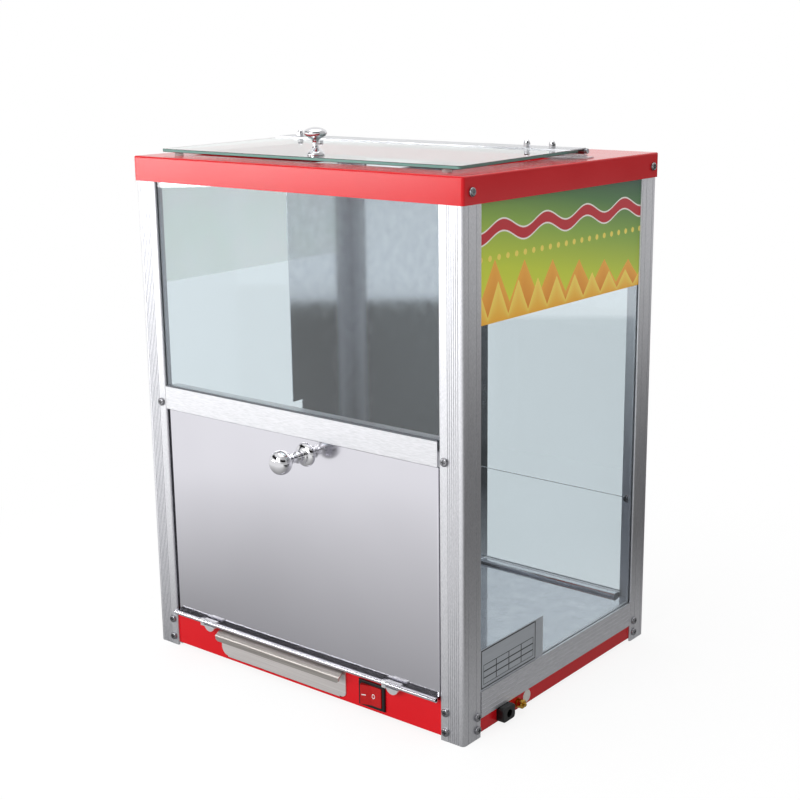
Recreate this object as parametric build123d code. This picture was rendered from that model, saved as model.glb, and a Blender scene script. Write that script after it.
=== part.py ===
from build123d import *
import math
import os

# Counter-top chip warmer: four slotted aluminium corner posts carry glass walls, a red steel
# cap with a hinged glass lid, and a red steel base with a drop-down loading door, a crumb
# tray and the switch. Origin: on the counter, midway between the posts. +X is the right
# side, the front faces -Y, +Z is up. All sizes are in millimetres.

# ---- Driving dimensions -----------------------------------------------------------------
BODY_W = 394.0          # over the posts, left to right
BODY_D = 314.0          # over the posts, front to back
CAP_TOP = 500.0         # counter to the top of the cap

# Corner posts
POST_LEG = 26.0         # leg of the L section, along each face
LIP_T = 2.0             # lip outside the glass
GLASS_T = 3.0           # every fixed pane
GLASS_PLAY = 0.2        # pane to groove wall
POST_WALL_T = 3.0       # wall inside the glass
GROOVE_DEPTH = 8.0      # how far the groove runs into the post
GROOVE_END_PLAY = 1.0   # pane edge to groove bottom
POST_CORNER_R = 3.5
POST_TOP_PLAY = 0.2     # post end to the underside of the cap
RIB_COUNT = 6           # fine grooves on a post's ribbed face
RIB_PITCH = 2.2
RIB_WIDTH = 0.9
RIB_DEPTH = 0.4
LIP_NOSE_R = 1.5        # rounded end of each lip
RIB_INSET = 5.6         # corner to the first groove
LINE_PLACES = (7.0, 18.4)   # fine lines on a post's plain face, from the corner
LINE_WIDTH = 0.5
LINE_DEPTH = 0.3

# Rails
MID_RAIL_LOW = 253.0
MID_RAIL_H = 22.5
MID_RAIL_DEEP = 18.0
MID_RAIL_WALL = 2.0
MID_RAIL_GAP_LEFT = 0.3
MID_RAIL_GAP_RIGHT = 2.0
BASE_RAIL_LOW = 18.0
BASE_RAIL_H = 25.0
BASE_RAIL_GAP = 0.5
BASE_RAIL_RIBS = 5
BASE_RAIL_RIB_PITCH = 4.2
BASE_RAIL_RIB_WIDTH = 1.0
SKIRT_H = 8.0           # inner wall of a base rail, down behind the panel
LEDGE_W = 6.0           # shelf of a base rail under the floor pan
LEDGE_T = 2.0
TONGUE_PLAY = 0.15      # tongue of a rail or panel to the groove wall
TONGUE_ROOT = 4.0       # how far a tongue starts inside its rail
PANE_SEAT = 5.0         # how deep a pane stands in a rail

# Sheet steel
SHEET_T = 1.0
CAP_LOW = 476.4
CAP_PLAY = 0.1          # cap to post
CAP_CORNER_R = 2.5
CAP_EDGE_R = 1.5
OPENING_W = 310.0       # filling hole in the cap
OPENING_FRONT = -121.0
OPENING_REAR = 36.0
OPENING_FLANGE_H = 10.0
OPENING_CORNER_R = 4.0
PANEL_LOW = 3.0
PANEL_TOP = 36.5
PANEL_FLANGE = 12.0
PAN_TOP = 40.0
PAN_PLAY = 0.4
PAN_SILL_H = 4.0        # rolled rear edge of the floor pan
PAN_SILL_W = 11.0
SLOT_COUNT = 8          # crumb slots, to the left of the divider
SLOT_PITCH = 9.0
SLOT_W = 3.0
SLOT_L = 60.0
DIVIDER_X = -2.0
DIVIDER_TOP = 486.0
DIVIDER_FOOT = 12.0
DIVIDER_PLAY = 0.8
DIVIDER_NOTCH_UP = 8.5  # notch above the middle rail
REAR_JOINT_Z = 147.0    # where the two rear panes meet
PANE_JOINT = 0.5
BEAD_H = 1.5
BEAD_IN = 0.4           # bead behind the rail's face

# Door
DOOR_SIDE_GAP = 2.0     # door to each post
DOOR_TOP_GAP = 1.0      # door to the middle rail
DOOR_T = 1.2
DOOR_DEPTH = 2.8        # over the folded edges
DOOR_RECESS = 1.8       # behind the post faces
DOOR_FOLD_R = 2.0       # rounded upright edges
LEDGE_OUT = 5.0         # hinge line to the door face
ROLL_R = 2.4            # rolled lip on the hinge line
ROLL_Z = 38.7
PIN_PLAY = 0.05
SEAM_W = 0.6            # seam where the rolled sheet ends
SEAM_ANGLE = 46.0       # seam above level, on the roll's front
HINGE_SPACING = 238.0
HINGE_TAB_R = 7.2
HINGE_TAB_DROP = 6.3
HINGE_TAB_T = 1.5
KNUCKLE_L = 5.0
KNUCKLE_GAP = 0.3
BRACKET_T = 1.5
CLIP_L = 17.0
CLIP_W = 3.8
CLIP_T = 0.8
CLIP_OVER = 1.2         # clip past the roll's middle
PIN_L = 26.0
CATCH_X = 80.0
CATCH_W = 36.0
CATCH_H = 14.0
CATCH_DEEP = 10.0
CATCH_EDGE_R = 1.0
STRIKE_T = 1.2
STRIKE_IN = 2.0         # strike plate inside the ends of the magnet
CATCH_GAP = 0.3

# Door knob and lid knob
DOOR_KNOB_X = 14.5
DOOR_KNOB_DROP = 15.0   # knob centre below the door's top edge
DOOR_ROSETTE_R = 11.2
DOOR_KNOB_R = 11.5
DOOR_KNOB_L = 42.0
LID_KNOB_X = 3.0
LID_KNOB_Y = -118.0
LID_KNOB_BASE_R = 8.2
LID_KNOB_R = 10.75
LID_KNOB_H = 25.0
LID_KNOB_NECK_R = 2.6
KNOB_SCREW_R = 2.0

# Lid
LID_W = 360.0
LID_FRONT = -138.0
LID_REAR = 43.0
LID_T = 3.0
LID_CORNER_R = 3.0
LID_CHAMFER = 0.4
LID_AXIS_Y = 49.0
LID_AXIS_UP = 7.0       # hinge line above the cap
BARREL_R = 3.0
BARREL_L = 366.0
LID_PIN_R = 1.5
LID_PIN_PLAY = 0.06
LEAF_T = 1.0
LEAF_W = 23.0
LEAF_FOOT = 11.0
LEAF_KNUCKLES = 7
LEAF_GAP = 0.5
NUT_SPACINGS = (258.0, 314.0)   # inner and outer pairs of domed nuts
LID_BOLT_R = 2.0
NUT_R = 3.4
NUT_H = 7.0
NUT_FROM_AXIS = 16.0
RIVET_R = 2.6
RIVET_H = 0.9
RIVET_SPACING = 100.0
BUMPER_R = 4.3
BUMPER_H = 3.2
BUMPER_X = 162.0
BUMPER_Y = -132.0
REST_GAP = 0.05

# Screws
SCREW_HEAD_R = 4.0
SCREW_HEAD_H = 2.4
SCREW_R = 2.0
SCREW_L = 6.0
HOLE_PLAY = 0.15
SCREW_FROM_CORNER = 20.0
CAP_SCREW_FROM_CORNER = 10.0
CAP_SCREW_DROP = 13.0
MID_SCREW_UP = 6.0      # above the middle rail's lower edge
FRONT_SCREW_Z = (9.0, 28.0)
SIDE_SCREW_Z = (9.0, 21.5)

# Crumb tray
TRAY_LEFT = -107.5
TRAY_RIGHT = 58.0
TRAY_LOW = 7.0
TRAY_TOP = 35.5
TRAY_LEFT_CORNER_R = 9.0
TRAY_RIGHT_CORNER_R = 5.0
TRAY_L = 180.0
TRAY_WALL_H = 18.0
TRAY_SIDE_IN = 8.0      # tray side to the end of its front plate
TRAY_PLAY = 2.0         # tray to the hole in the panel
PULL_IN = 0.5           # end of the pull lip inside the end of the front plate
PULL_OUT = 9.1
PULL_H = 10.9           # from its top to its free edge
PULL_FALL = 4.4         # slope of its top
PULL_BEND = 1.4         # size of its bend
PULL_CORNER_R = 4.0
PULL_LEG = 5.0          # part that lies on the front plate
RUNNER_H = 12.0
RUNNER_PLAY = 0.5
RUNNER_FOOT = 6.0       # flange under the tray

# Switch
SWITCH_X = 90.6
SWITCH_Z = 19.2
SWITCH_W = 31.0
SWITCH_H = 25.5
BEZEL_T = 2.2
BEZEL_EDGE_R = 0.8
SWITCH_BODY_W = 28.0
SWITCH_BODY_H = 22.4
SWITCH_BODY_DEEP = 16.0
ROCKER_SWING_R = 12.2
ROCKER_H = 19.2
ROCKER_PLAY = 0.4
ROCKER_FACE = 3.0       # pivot to the valley of the rocker's face
ROCKER_BACK = 3.0
ROCKER_TILT = 9.0       # degrees each side of level
ROCKER_PROUD = 0.5
TRUNNION_R = 1.2
TRUNNION_L = 0.8
TRUNNION_PLAY = 0.05
SPADE_T = 0.8
SPADE_W = 6.3
SPADE_L = 8.0
SPADE_PITCH = 8.0

# Mains side
GLAND_Y = -95.0
GLAND_Z = 10.4
GLAND_W = 19.0
GLAND_H = 14.4
GLAND_OUT = 8.0
GLAND_NECK_R = 5.2
GLAND_BORE_R = 3.8
GLAND_IN = 7.0
GLAND_CORNER_R = 3.5
GLAND_EDGE_R = 1.2
EARTH_Y = -71.0
EARTH_Z = 9.5
EARTH_R = 4.6
EARTH_STUD_R = 2.0
EARTH_NUT_R = 4.2
EARTH_NUT_H = 3.0
EARTH_STUD_IN = 7.0       # stud behind the panel
EARTH_OUT = 9.5           # stud in front of the panel
EARTH_STUD_EDGE = 0.5
EARTH_WASHER_T = 1.0
EARTH_ROUND_FROM = 2.2    # round nut, from the panel
EARTH_ROUND_END = 7.2
EARTH_ROUND_EDGE = 0.8
DISC_Y = -56.0
DISC_R = 6.0
FILM_T = 0.25
STICKER_H = 102.5
PLATE_REAR = -30.0
PLATE_H = 39.0

# Heater and wiring under the floor pan
HEATER_R = 3.25
HEATER_FRONT = 58.0
HEATER_REAR = 112.0
HEATER_LEFT = -150.0
HEATER_RIGHT = 128.0
HEATER_END_R = 1.6
HEATER_END_L = 9.0
CLAMP_X = (-100.0, 60.0)
CLAMP_T = 1.0
CLAMP_W = 10.0
THERMOSTAT_X = 120.0
THERMOSTAT_Y = 10.0
THERMOSTAT_R = 8.0
THERMOSTAT_H = 9.0
THERMOSTAT_FLANGE_T = 3.0
BLOCK_FROM_SIDE = 47.0
BLOCK_Y = -60.0
BLOCK_SIZE = (22.0, 34.0, 14.0)
BLOCK_WAY_R = 3.4
BLOCK_SCREW_DEEP = 3.0
WIRE_R = 1.1
WIRE_BEND = 4.0
WIRE_SPACING = 9.0

# ---- Derived places ---------------------------------------------------------------------
RIGHT = BODY_W / 2
BACK = BODY_D / 2
GROOVE_W = GLASS_T + 2 * GLASS_PLAY
POST_T = LIP_T + GROOVE_W + POST_WALL_T
BAY_X = RIGHT - POST_LEG            # half the gap between the posts, across the front
BAY_Y = BACK - POST_LEG             # half the gap between the posts, along a side
INNER_X = RIGHT - POST_T            # inner faces of the posts and base rails
INNER_Y = BACK - POST_T
PANE_OUT = LIP_T + GLASS_PLAY       # post face to a pane's outer face
PANE_IN = PANE_OUT + GLASS_T
EDGE_IN_GROOVE = GROOVE_DEPTH - GROOVE_END_PLAY
CAP_UNDER = CAP_TOP - SHEET_T
POST_TOP = CAP_UNDER - POST_TOP_PLAY
PANE_TOP = POST_TOP - GROOVE_END_PLAY
MID_RAIL_TOP = MID_RAIL_LOW + MID_RAIL_H
BASE_RAIL_TOP = BASE_RAIL_LOW + BASE_RAIL_H
CAP_X = RIGHT + CAP_PLAY + SHEET_T
CAP_Y = BACK + CAP_PLAY + SHEET_T
PANEL_FACE = LIP_T + TONGUE_PLAY    # post face to a base panel's face
BASE_FLOOR_TOP = PANEL_LOW + 2 * SHEET_T
TONGUE_T = GROOVE_W - 2 * TONGUE_PLAY

DOOR_W = 2 * (BAY_X - DOOR_SIDE_GAP)
DOOR_TOP = MID_RAIL_LOW - DOOR_TOP_GAP
DOOR_FACE = -BACK + DOOR_RECESS
DOOR_BACK = DOOR_FACE + DOOR_DEPTH
ROLL_Y = DOOR_FACE - LEDGE_OUT
DOOR_LEDGE_TOP = ROLL_Z + ROLL_R
PIN_R = ROLL_R - DOOR_T * 0.75
HINGE_XS = (-HINGE_SPACING / 2, HINGE_SPACING / 2)
DOOR_KNOB_Z = DOOR_TOP - DOOR_KNOB_DROP

LID_AXIS_Z = CAP_TOP + LID_AXIS_UP
LID_GLASS_TOP = LID_AXIS_Z + BARREL_R - LEAF_T
LID_GLASS_LOW = LID_GLASS_TOP - LID_T
LID_TILT = math.degrees(
    math.asin((LID_GLASS_LOW - CAP_TOP - BUMPER_H - REST_GAP) / (LID_AXIS_Y - BUMPER_Y))
)
LID_TILT_LOCATION = (
    Pos(0, LID_AXIS_Y, LID_AXIS_Z) * Rot(LID_TILT, 0, 0) * Pos(0, -LID_AXIS_Y, -LID_AXIS_Z)
)
NUT_XS = tuple(side * spacing / 2 for spacing in NUT_SPACINGS for side in (-1, 1))
NUT_Y = LID_AXIS_Y - NUT_FROM_AXIS

PANEL_FRONT = -BACK + PANEL_FACE
TRAY_BOX_LEFT = TRAY_LEFT + TRAY_SIDE_IN
TRAY_BOX_RIGHT = TRAY_RIGHT - TRAY_SIDE_IN
TRAY_PLATE_BACK = PANEL_FRONT - REST_GAP
TRAY_FLOOR = BASE_FLOOR_TOP + SHEET_T + REST_GAP
TRAY_REAR = TRAY_PLATE_BACK + TRAY_L
BEZEL_FACE = PANEL_FRONT - BEZEL_T
ROCKER_AXIS_Y = BEZEL_FACE - ROCKER_PROUD + ROCKER_FACE * math.cos(math.radians(ROCKER_TILT))
HEATER_Z = PAN_TOP - SHEET_T - HEATER_R
BLOCK_X = RIGHT - BLOCK_FROM_SIDE
STICKER_LOW = CAP_LOW - STICKER_H


# ---- Shapes used by several pieces --------------------------------------------------------
def block(x, y, z):
    """A box from its (low, high) limits along each axis."""
    size = Box(x[1] - x[0], y[1] - y[0], z[1] - z[0])
    return Pos((x[0] + x[1]) / 2, (y[0] + y[1]) / 2, (z[0] + z[1]) / 2) * size


def bar_x(points, x_low, x_high):
    """A section given as (y, z) points, drawn out along X."""
    face = Plane.YZ * make_face(Polyline(*points, close=True))
    return Pos(x_low, 0, 0) * extrude(face, amount=x_high - x_low)


def rod(radius, start, direction, length):
    """A round rod from a point, along a direction."""
    plane = Plane(origin=start, z_dir=direction)
    return plane.location * Cylinder(
        radius, length, align=(Align.CENTER, Align.CENTER, Align.MIN)
    )


def turned(points, origin, direction):
    """A turned piece: (radius, height) points spun round a direction from an origin."""
    face = Plane.XZ * make_face(Polyline(*points, close=True))
    return Plane(origin=origin, z_dir=direction).location * revolve(face, Axis.Z)


def four_corners(piece):
    """The piece at the front right, and its mirrored copies in the other corners."""
    left = mirror(piece, about=Plane.YZ)
    return {
        "front_right": piece,
        "front_left": left,
        "rear_right": mirror(piece, about=Plane.XZ),
        "rear_left": mirror(left, about=Plane.XZ),
    }


def write(name, *pieces):
    """One file for one node. Several pieces stay separate solids."""
    solids = [solid for piece in pieces for solid in piece.solids()]
    export_step(solids[0] if len(solids) == 1 else Compound(solids), f"parts/{name}.step")


# ---- Screws ---------------------------------------------------------------------------------
def post_screw_places():
    """Where each pan-head screw enters a post: a point on the face and the way it faces."""
    across = RIGHT - SCREW_FROM_CORNER
    along = BACK - SCREW_FROM_CORNER
    mid_z = MID_RAIL_LOW + MID_SCREW_UP
    places = []
    for side in (-1, 1):
        for z in FRONT_SCREW_Z + (mid_z,):
            places.append(((side * across, -BACK, z), (0, -1, 0)))
        for z in FRONT_SCREW_Z:
            places.append(((side * across, BACK, z), (0, 1, 0)))
        for z in SIDE_SCREW_Z:
            for end in (-1, 1):
                places.append(((side * RIGHT, end * along, z), (side, 0, 0)))
    return places


def pane_screw_places():
    """Where the screws at the joint of the rear panes enter the inner walls of the rear posts."""
    across = RIGHT - SCREW_FROM_CORNER
    return [((side * across, INNER_Y, REAR_JOINT_Z), (0, -1, 0)) for side in (-1, 1)]


def cap_screw_places():
    along = BACK - CAP_SCREW_FROM_CORNER
    z = CAP_TOP - CAP_SCREW_DROP
    return [
        ((side * CAP_X, end * along, z), (side, 0, 0)) for side in (-1, 1) for end in (-1, 1)
    ]


def pan_screw(point, facing, length=SCREW_L):
    """Pan-head screw with a cross recess. Its head stands on the point."""
    down = (Align.CENTER, Align.CENTER, Align.MAX)
    head = Cylinder(SCREW_HEAD_R, SCREW_HEAD_H, align=(Align.CENTER, Align.CENTER, Align.MIN))
    head = fillet(head.edges().sort_by(Axis.Z)[-1], SCREW_HEAD_H * 0.6)
    recess = Pos(0, 0, SCREW_HEAD_H) * (
        Box(SCREW_HEAD_R * 1.1, 0.9, SCREW_HEAD_H, align=(Align.CENTER, Align.CENTER, Align.CENTER))
        + Box(0.9, SCREW_HEAD_R * 1.1, SCREW_HEAD_H)
    )
    screw = head - recess + Cylinder(SCREW_R, length, align=down)
    return Plane(origin=point, z_dir=facing).location * screw


def screw_holes(places, depth=SCREW_L + 1):
    holes = []
    for point, facing in places:
        inward = tuple(-value for value in facing)
        holes.append(rod(SCREW_R + HOLE_PLAY, point, inward, depth))
    return holes


POST_HOLES = screw_holes(post_screw_places())
PANE_HOLES = screw_holes(pane_screw_places(), POST_WALL_T)
CAP_HOLES = screw_holes(cap_screw_places())


# ---- Frame ----------------------------------------------------------------------------------
def corner_post():
    """L section with a glass groove in each leg, ribbed on its front face."""
    front = -BACK
    section = Pos(RIGHT - POST_LEG / 2, front + POST_T / 2) * Rectangle(POST_LEG, POST_T)
    section += Pos(RIGHT - POST_T / 2, front + POST_LEG / 2) * Rectangle(POST_T, POST_LEG)
    outer = section.vertices().sort_by(Axis.X)[-2:].sort_by(Axis.Y)[0]
    section = fillet(outer, POST_CORNER_R)
    groove_mid = LIP_T + GROOVE_W / 2
    groove_end = POST_LEG - GROOVE_DEPTH / 2
    section -= Pos(RIGHT - groove_end, front + groove_mid) * Rectangle(GROOVE_DEPTH, GROOVE_W)
    section -= Pos(RIGHT - groove_mid, front + groove_end) * Rectangle(GROOVE_W, GROOVE_DEPTH)
    for nose in ((RIGHT - POST_LEG, front), (RIGHT, front + POST_LEG)):
        end = section.vertices().sort_by(lambda v: math.dist((v.X, v.Y), nose))[0]
        section = fillet(end, LIP_NOSE_R)
    for index in range(RIB_COUNT):
        x = RIGHT - RIB_INSET - index * RIB_PITCH
        section -= Pos(x, front + RIB_DEPTH / 2) * Rectangle(RIB_WIDTH, RIB_DEPTH)
    for place in LINE_PLACES:
        section -= Pos(RIGHT - LINE_DEPTH / 2, front + place) * Rectangle(LINE_DEPTH, LINE_WIDTH)
    return extrude(section, amount=POST_TOP)


def tongue_x(side, z_low, z_high, face_sign):
    """Tongue of a front or rear piece, in the groove of the post on one side."""
    outer = BAY_X + EDGE_IN_GROOVE
    x = sorted((side * (BAY_X - TONGUE_ROOT), side * outer))
    y = sorted((
        face_sign * (BACK - LIP_T - TONGUE_PLAY),
        face_sign * (BACK - LIP_T - TONGUE_PLAY - TONGUE_T),
    ))
    return block(x, y, (z_low, z_high))


def tongue_y(side, end, z_low, z_high):
    """Tongue of a side piece, in the groove of the post at one end."""
    outer = BAY_Y + EDGE_IN_GROOVE
    x = sorted((
        side * (RIGHT - LIP_T - TONGUE_PLAY),
        side * (RIGHT - LIP_T - TONGUE_PLAY - TONGUE_T),
    ))
    y = sorted((end * (BAY_Y - TONGUE_ROOT), end * outer))
    return block(x, y, (z_low, z_high))


def middle_rail():
    """Hollow rail over the door, with a groove in its top for the front pane."""
    x = (-BAY_X + MID_RAIL_GAP_LEFT, BAY_X - MID_RAIL_GAP_RIGHT)
    back = -BACK + MID_RAIL_DEEP
    rail = block(x, (-BACK, back), (MID_RAIL_LOW, MID_RAIL_TOP))
    hollow_top = MID_RAIL_TOP - PANE_SEAT - 2 * MID_RAIL_WALL
    rail -= block(
        x,
        (-BACK + MID_RAIL_WALL, back - MID_RAIL_WALL),
        (MID_RAIL_LOW + MID_RAIL_WALL, hollow_top),
    )
    rail -= block(
        x, (-BACK + LIP_T, -BACK + LIP_T + GROOVE_W), (MID_RAIL_TOP - PANE_SEAT, MID_RAIL_TOP)
    )
    for side in (-1, 1):
        rail += tongue_x(side, MID_RAIL_LOW, hollow_top, -1)
    return rail - POST_HOLES


def base_rail_section(top):
    """Section of a base rail: (distance inside the face, height) points."""
    seat = top - PANE_SEAT
    skirt = BASE_RAIL_LOW - SKIRT_H
    wall = POST_T - POST_WALL_T
    shelf = PAN_TOP - SHEET_T
    return [
        (0, BASE_RAIL_LOW), (0, top), (LIP_T, top), (LIP_T, seat), (LIP_T + GROOVE_W, seat),
        (LIP_T + GROOVE_W, top), (POST_T, top), (POST_T, shelf), (POST_T + LEDGE_W, shelf),
        (POST_T + LEDGE_W, shelf - LEDGE_T), (POST_T, shelf - LEDGE_T), (POST_T, skirt),
        (wall, skirt), (wall, BASE_RAIL_LOW),
    ]


def rail_ribs(length):
    """Fine grooves along the face of a base rail, drawn at the right-hand side."""
    first = BASE_RAIL_LOW + (BASE_RAIL_H - (BASE_RAIL_RIBS - 1) * BASE_RAIL_RIB_PITCH) / 2
    return [
        block(
            (-RIB_DEPTH, RIB_DEPTH),
            (-length, length),
            (
                first + index * BASE_RAIL_RIB_PITCH - BASE_RAIL_RIB_WIDTH / 2,
                first + index * BASE_RAIL_RIB_PITCH + BASE_RAIL_RIB_WIDTH / 2,
            ),
        )
        for index in range(BASE_RAIL_RIBS)
    ]


def right_side_rail():
    """Ribbed rail under the right-hand pane, between the posts."""
    length = BAY_Y - BASE_RAIL_GAP
    points = [(RIGHT - inward, z) for inward, z in base_rail_section(BASE_RAIL_TOP)]
    face = Plane.XZ * make_face(Polyline(*points, close=True))
    rail = Pos(0, length, 0) * extrude(face, amount=2 * length)
    for rib in rail_ribs(length):
        rail -= Pos(RIGHT, 0, 0) * rib
    for end in (-1, 1):
        rail += tongue_y(1, end, BASE_RAIL_LOW, BASE_RAIL_TOP - PANE_SEAT)
    return rail - POST_HOLES


def mains_holes():
    """Holes for the cord bushing and the earth stud, through the right-hand side."""
    inward = (-1, 0, 0)
    depth = POST_T + 1
    panel_back = RIGHT - PANEL_FACE - SHEET_T
    return [
        rod(GLAND_NECK_R + HOLE_PLAY, (RIGHT, GLAND_Y, GLAND_Z), inward, depth),
        rod(EARTH_NUT_R + HOLE_PLAY, (panel_back, EARTH_Y, EARTH_Z), inward, depth),
        rod(EARTH_STUD_R + HOLE_PLAY, (RIGHT, EARTH_Y, EARTH_Z), inward, depth),
    ]


def rear_rail():
    """Ribbed rail under the rear panes, between the rear posts."""
    length = BAY_X - BASE_RAIL_GAP
    points = [(BACK - inward, z) for inward, z in base_rail_section(BASE_RAIL_TOP)]
    rail = bar_x(points, -length, length)
    for rib in rail_ribs(length):
        rail -= Pos(0, BACK, 0) * Rot(0, 0, 90) * rib
    for side in (-1, 1):
        rail += tongue_x(side, BASE_RAIL_LOW, BASE_RAIL_TOP - PANE_SEAT, 1)
    return rail - POST_HOLES


# ---- Panes ----------------------------------------------------------------------------------
def cross_pane(face_sign, z_low, z_high):
    """A pane across the front or the rear, its edges in the posts' grooves."""
    half = BAY_X + EDGE_IN_GROOVE
    y = sorted((face_sign * (BACK - PANE_OUT), face_sign * (BACK - PANE_IN)))
    return block((-half, half), y, (z_low, z_high))


def side_pane(side):
    half = BAY_Y + EDGE_IN_GROOVE
    x = sorted((side * (RIGHT - PANE_OUT), side * (RIGHT - PANE_IN)))
    return block(x, (-half, half), (BASE_RAIL_TOP - PANE_SEAT + GLASS_PLAY, PANE_TOP))


def front_bead():
    """Glazing bead along the front pane, on the lip of the middle rail."""
    x = (-BAY_X + MID_RAIL_GAP_LEFT, BAY_X - MID_RAIL_GAP_RIGHT)
    return block(
        x, (-BACK + BEAD_IN, -BACK + PANE_OUT - REST_GAP), (MID_RAIL_TOP, MID_RAIL_TOP + BEAD_H)
    )


def side_film(side, y, z):
    """Thin printed film stuck on the outside of a side pane."""
    inner = RIGHT - PANE_OUT
    return block(sorted((side * inner, side * (inner + FILM_T))), y, z)


# ---- Cap and base ---------------------------------------------------------------------------
def cap():
    """Folded steel cap, open below, with the flanged filling hole in its top."""
    outer = block((-CAP_X, CAP_X), (-CAP_Y, CAP_Y), (CAP_LOW, CAP_TOP))
    outer = fillet(outer.edges().filter_by(Axis.Z), CAP_CORNER_R)
    outer = fillet(outer.faces().sort_by(Axis.Z)[-1].edges(), CAP_EDGE_R)
    inner_x = CAP_X - SHEET_T
    inner_y = CAP_Y - SHEET_T
    inner = block((-inner_x, inner_x), (-inner_y, inner_y), (CAP_LOW, CAP_UNDER))
    inner = fillet(inner.edges().filter_by(Axis.Z), CAP_CORNER_R - SHEET_T)
    half = OPENING_W / 2
    hole = block((-half, half), (OPENING_FRONT, OPENING_REAR), (CAP_LOW, CAP_TOP))
    hole = fillet(hole.edges().filter_by(Axis.Z), OPENING_CORNER_R)
    flange = block(
        (-half - SHEET_T, half + SHEET_T),
        (OPENING_FRONT - SHEET_T, OPENING_REAR + SHEET_T),
        (CAP_TOP - OPENING_FLANGE_H, CAP_UNDER),
    )
    flange = fillet(flange.edges().filter_by(Axis.Z), OPENING_CORNER_R + SHEET_T)
    return outer - inner + flange - hole - CAP_HOLES


def cross_panel(face_sign):
    """Front or rear base panel: a steel sheet in the grooves, flanged inwards."""
    face = BACK - PANEL_FACE
    inner = face - SHEET_T
    flange_in = inner - PANEL_FLANGE
    half = BAY_X + EDGE_IN_GROOVE
    flange_x = BAY_X - BASE_RAIL_GAP
    top = PANEL_TOP if face_sign < 0 else BASE_RAIL_LOW
    sheet = block((-half, half), sorted((face_sign * face, face_sign * inner)), (PANEL_LOW, top))
    flange_y = sorted((face_sign * inner, face_sign * flange_in))
    sheet += block((-flange_x, flange_x), flange_y, (PANEL_LOW, PANEL_LOW + SHEET_T))
    if face_sign < 0:
        sheet += block((-flange_x, flange_x), flange_y, (top - SHEET_T, top))
    return sheet - POST_HOLES


def front_panel():
    """Front base panel with the holes for the crumb tray and the switch."""
    hole_y = (-BACK, -BACK + PANEL_FACE + SHEET_T + 1)
    tray_hole = block(
        (TRAY_BOX_LEFT - TRAY_PLAY, TRAY_BOX_RIGHT + TRAY_PLAY),
        hole_y,
        (BASE_FLOOR_TOP, TRAY_FLOOR + TRAY_WALL_H + TRAY_PLAY),
    )
    half_w = SWITCH_BODY_W / 2 + HOLE_PLAY
    half_h = SWITCH_BODY_H / 2 + HOLE_PLAY
    switch_hole = block(
        (SWITCH_X - half_w, SWITCH_X + half_w), hole_y, (SWITCH_Z - half_h, SWITCH_Z + half_h)
    )
    return cross_panel(-1) - tray_hole - switch_hole


def side_panel(side):
    """Side base panel under the ribbed rail, in the grooves, flanged inwards."""
    face = RIGHT - PANEL_FACE
    inner = face - SHEET_T
    half = BAY_Y + EDGE_IN_GROOVE
    flange_y = BAY_Y - BASE_RAIL_GAP
    panel = block(sorted((side * face, side * inner)), (-half, half), (PANEL_LOW, BASE_RAIL_LOW))
    panel += block(
        sorted((side * inner, side * (inner - PANEL_FLANGE))),
        (-flange_y, flange_y),
        (PANEL_LOW, PANEL_LOW + SHEET_T),
    )
    if side > 0:
        panel -= mains_holes()
    return panel - POST_HOLES


def bottom_plate():
    """Steel sheet that closes the base, on the panels' flanges."""
    x = INNER_X - PAN_PLAY
    y = INNER_Y - PAN_PLAY
    return block((-x, x), (-y, y), (PANEL_LOW + SHEET_T, BASE_FLOOR_TOP))


def floor_pan():
    """Polished floor of the warmer, rolled up along the rear, with crumb slots at the left."""
    x = INNER_X - PAN_PLAY
    y = INNER_Y - PAN_PLAY
    low = PAN_TOP - SHEET_T
    pan = block((-x, x), (-y, y), (low, PAN_TOP))
    front_x = BAY_X - PAN_PLAY
    front_y = DOOR_BACK + DIVIDER_PLAY
    pan += block((-front_x, front_x), (front_y, -y), (low, PAN_TOP))
    pan += block((-front_x, front_x), (front_y, front_y + SHEET_T), (PANEL_TOP, low))
    sill = block((-front_x, front_x), (y - PAN_SILL_W, y), (PAN_TOP, PAN_TOP + PAN_SILL_H))
    top_edges = sill.edges().filter_by(Axis.X).group_by(Axis.Z)[-1]
    pan += fillet(top_edges, PAN_SILL_H * 0.9)
    slot = extrude(SlotOverall(SLOT_L, SLOT_W, rotation=90), amount=3 * SHEET_T)
    slot_y = (TRAY_PLATE_BACK + TRAY_REAR) / 2
    last_x = DIVIDER_X - DIVIDER_FOOT - SLOT_PITCH
    for index in range(SLOT_COUNT):
        pan -= Pos(last_x - index * SLOT_PITCH, slot_y, low - SHEET_T) * slot
    return pan


def divider():
    """Polished sheet from front to back between the two bins, notched round the middle rail."""
    x = (DIVIDER_X - SHEET_T / 2, DIVIDER_X + SHEET_T / 2)
    front = -BACK + PANE_IN + DIVIDER_PLAY
    rear = INNER_Y - PAN_PLAY - PAN_SILL_W - DIVIDER_PLAY
    sheet = block(x, (front, rear), (PAN_TOP, DIVIDER_TOP))
    over_sill = PAN_TOP + PAN_SILL_H + DIVIDER_PLAY
    sheet += block(x, (rear, BACK - PANE_IN - DIVIDER_PLAY), (over_sill, DIVIDER_TOP))
    notch_back = -BACK + MID_RAIL_DEEP + DIVIDER_PLAY
    sheet -= block(
        x, (-BACK, notch_back), (MID_RAIL_LOW - DIVIDER_PLAY, MID_RAIL_TOP + DIVIDER_NOTCH_UP)
    )
    foot_x = (x[0] - DIVIDER_FOOT, x[0])
    sheet += block(foot_x, (notch_back, rear), (PAN_TOP, PAN_TOP + SHEET_T))
    return sheet


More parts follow.
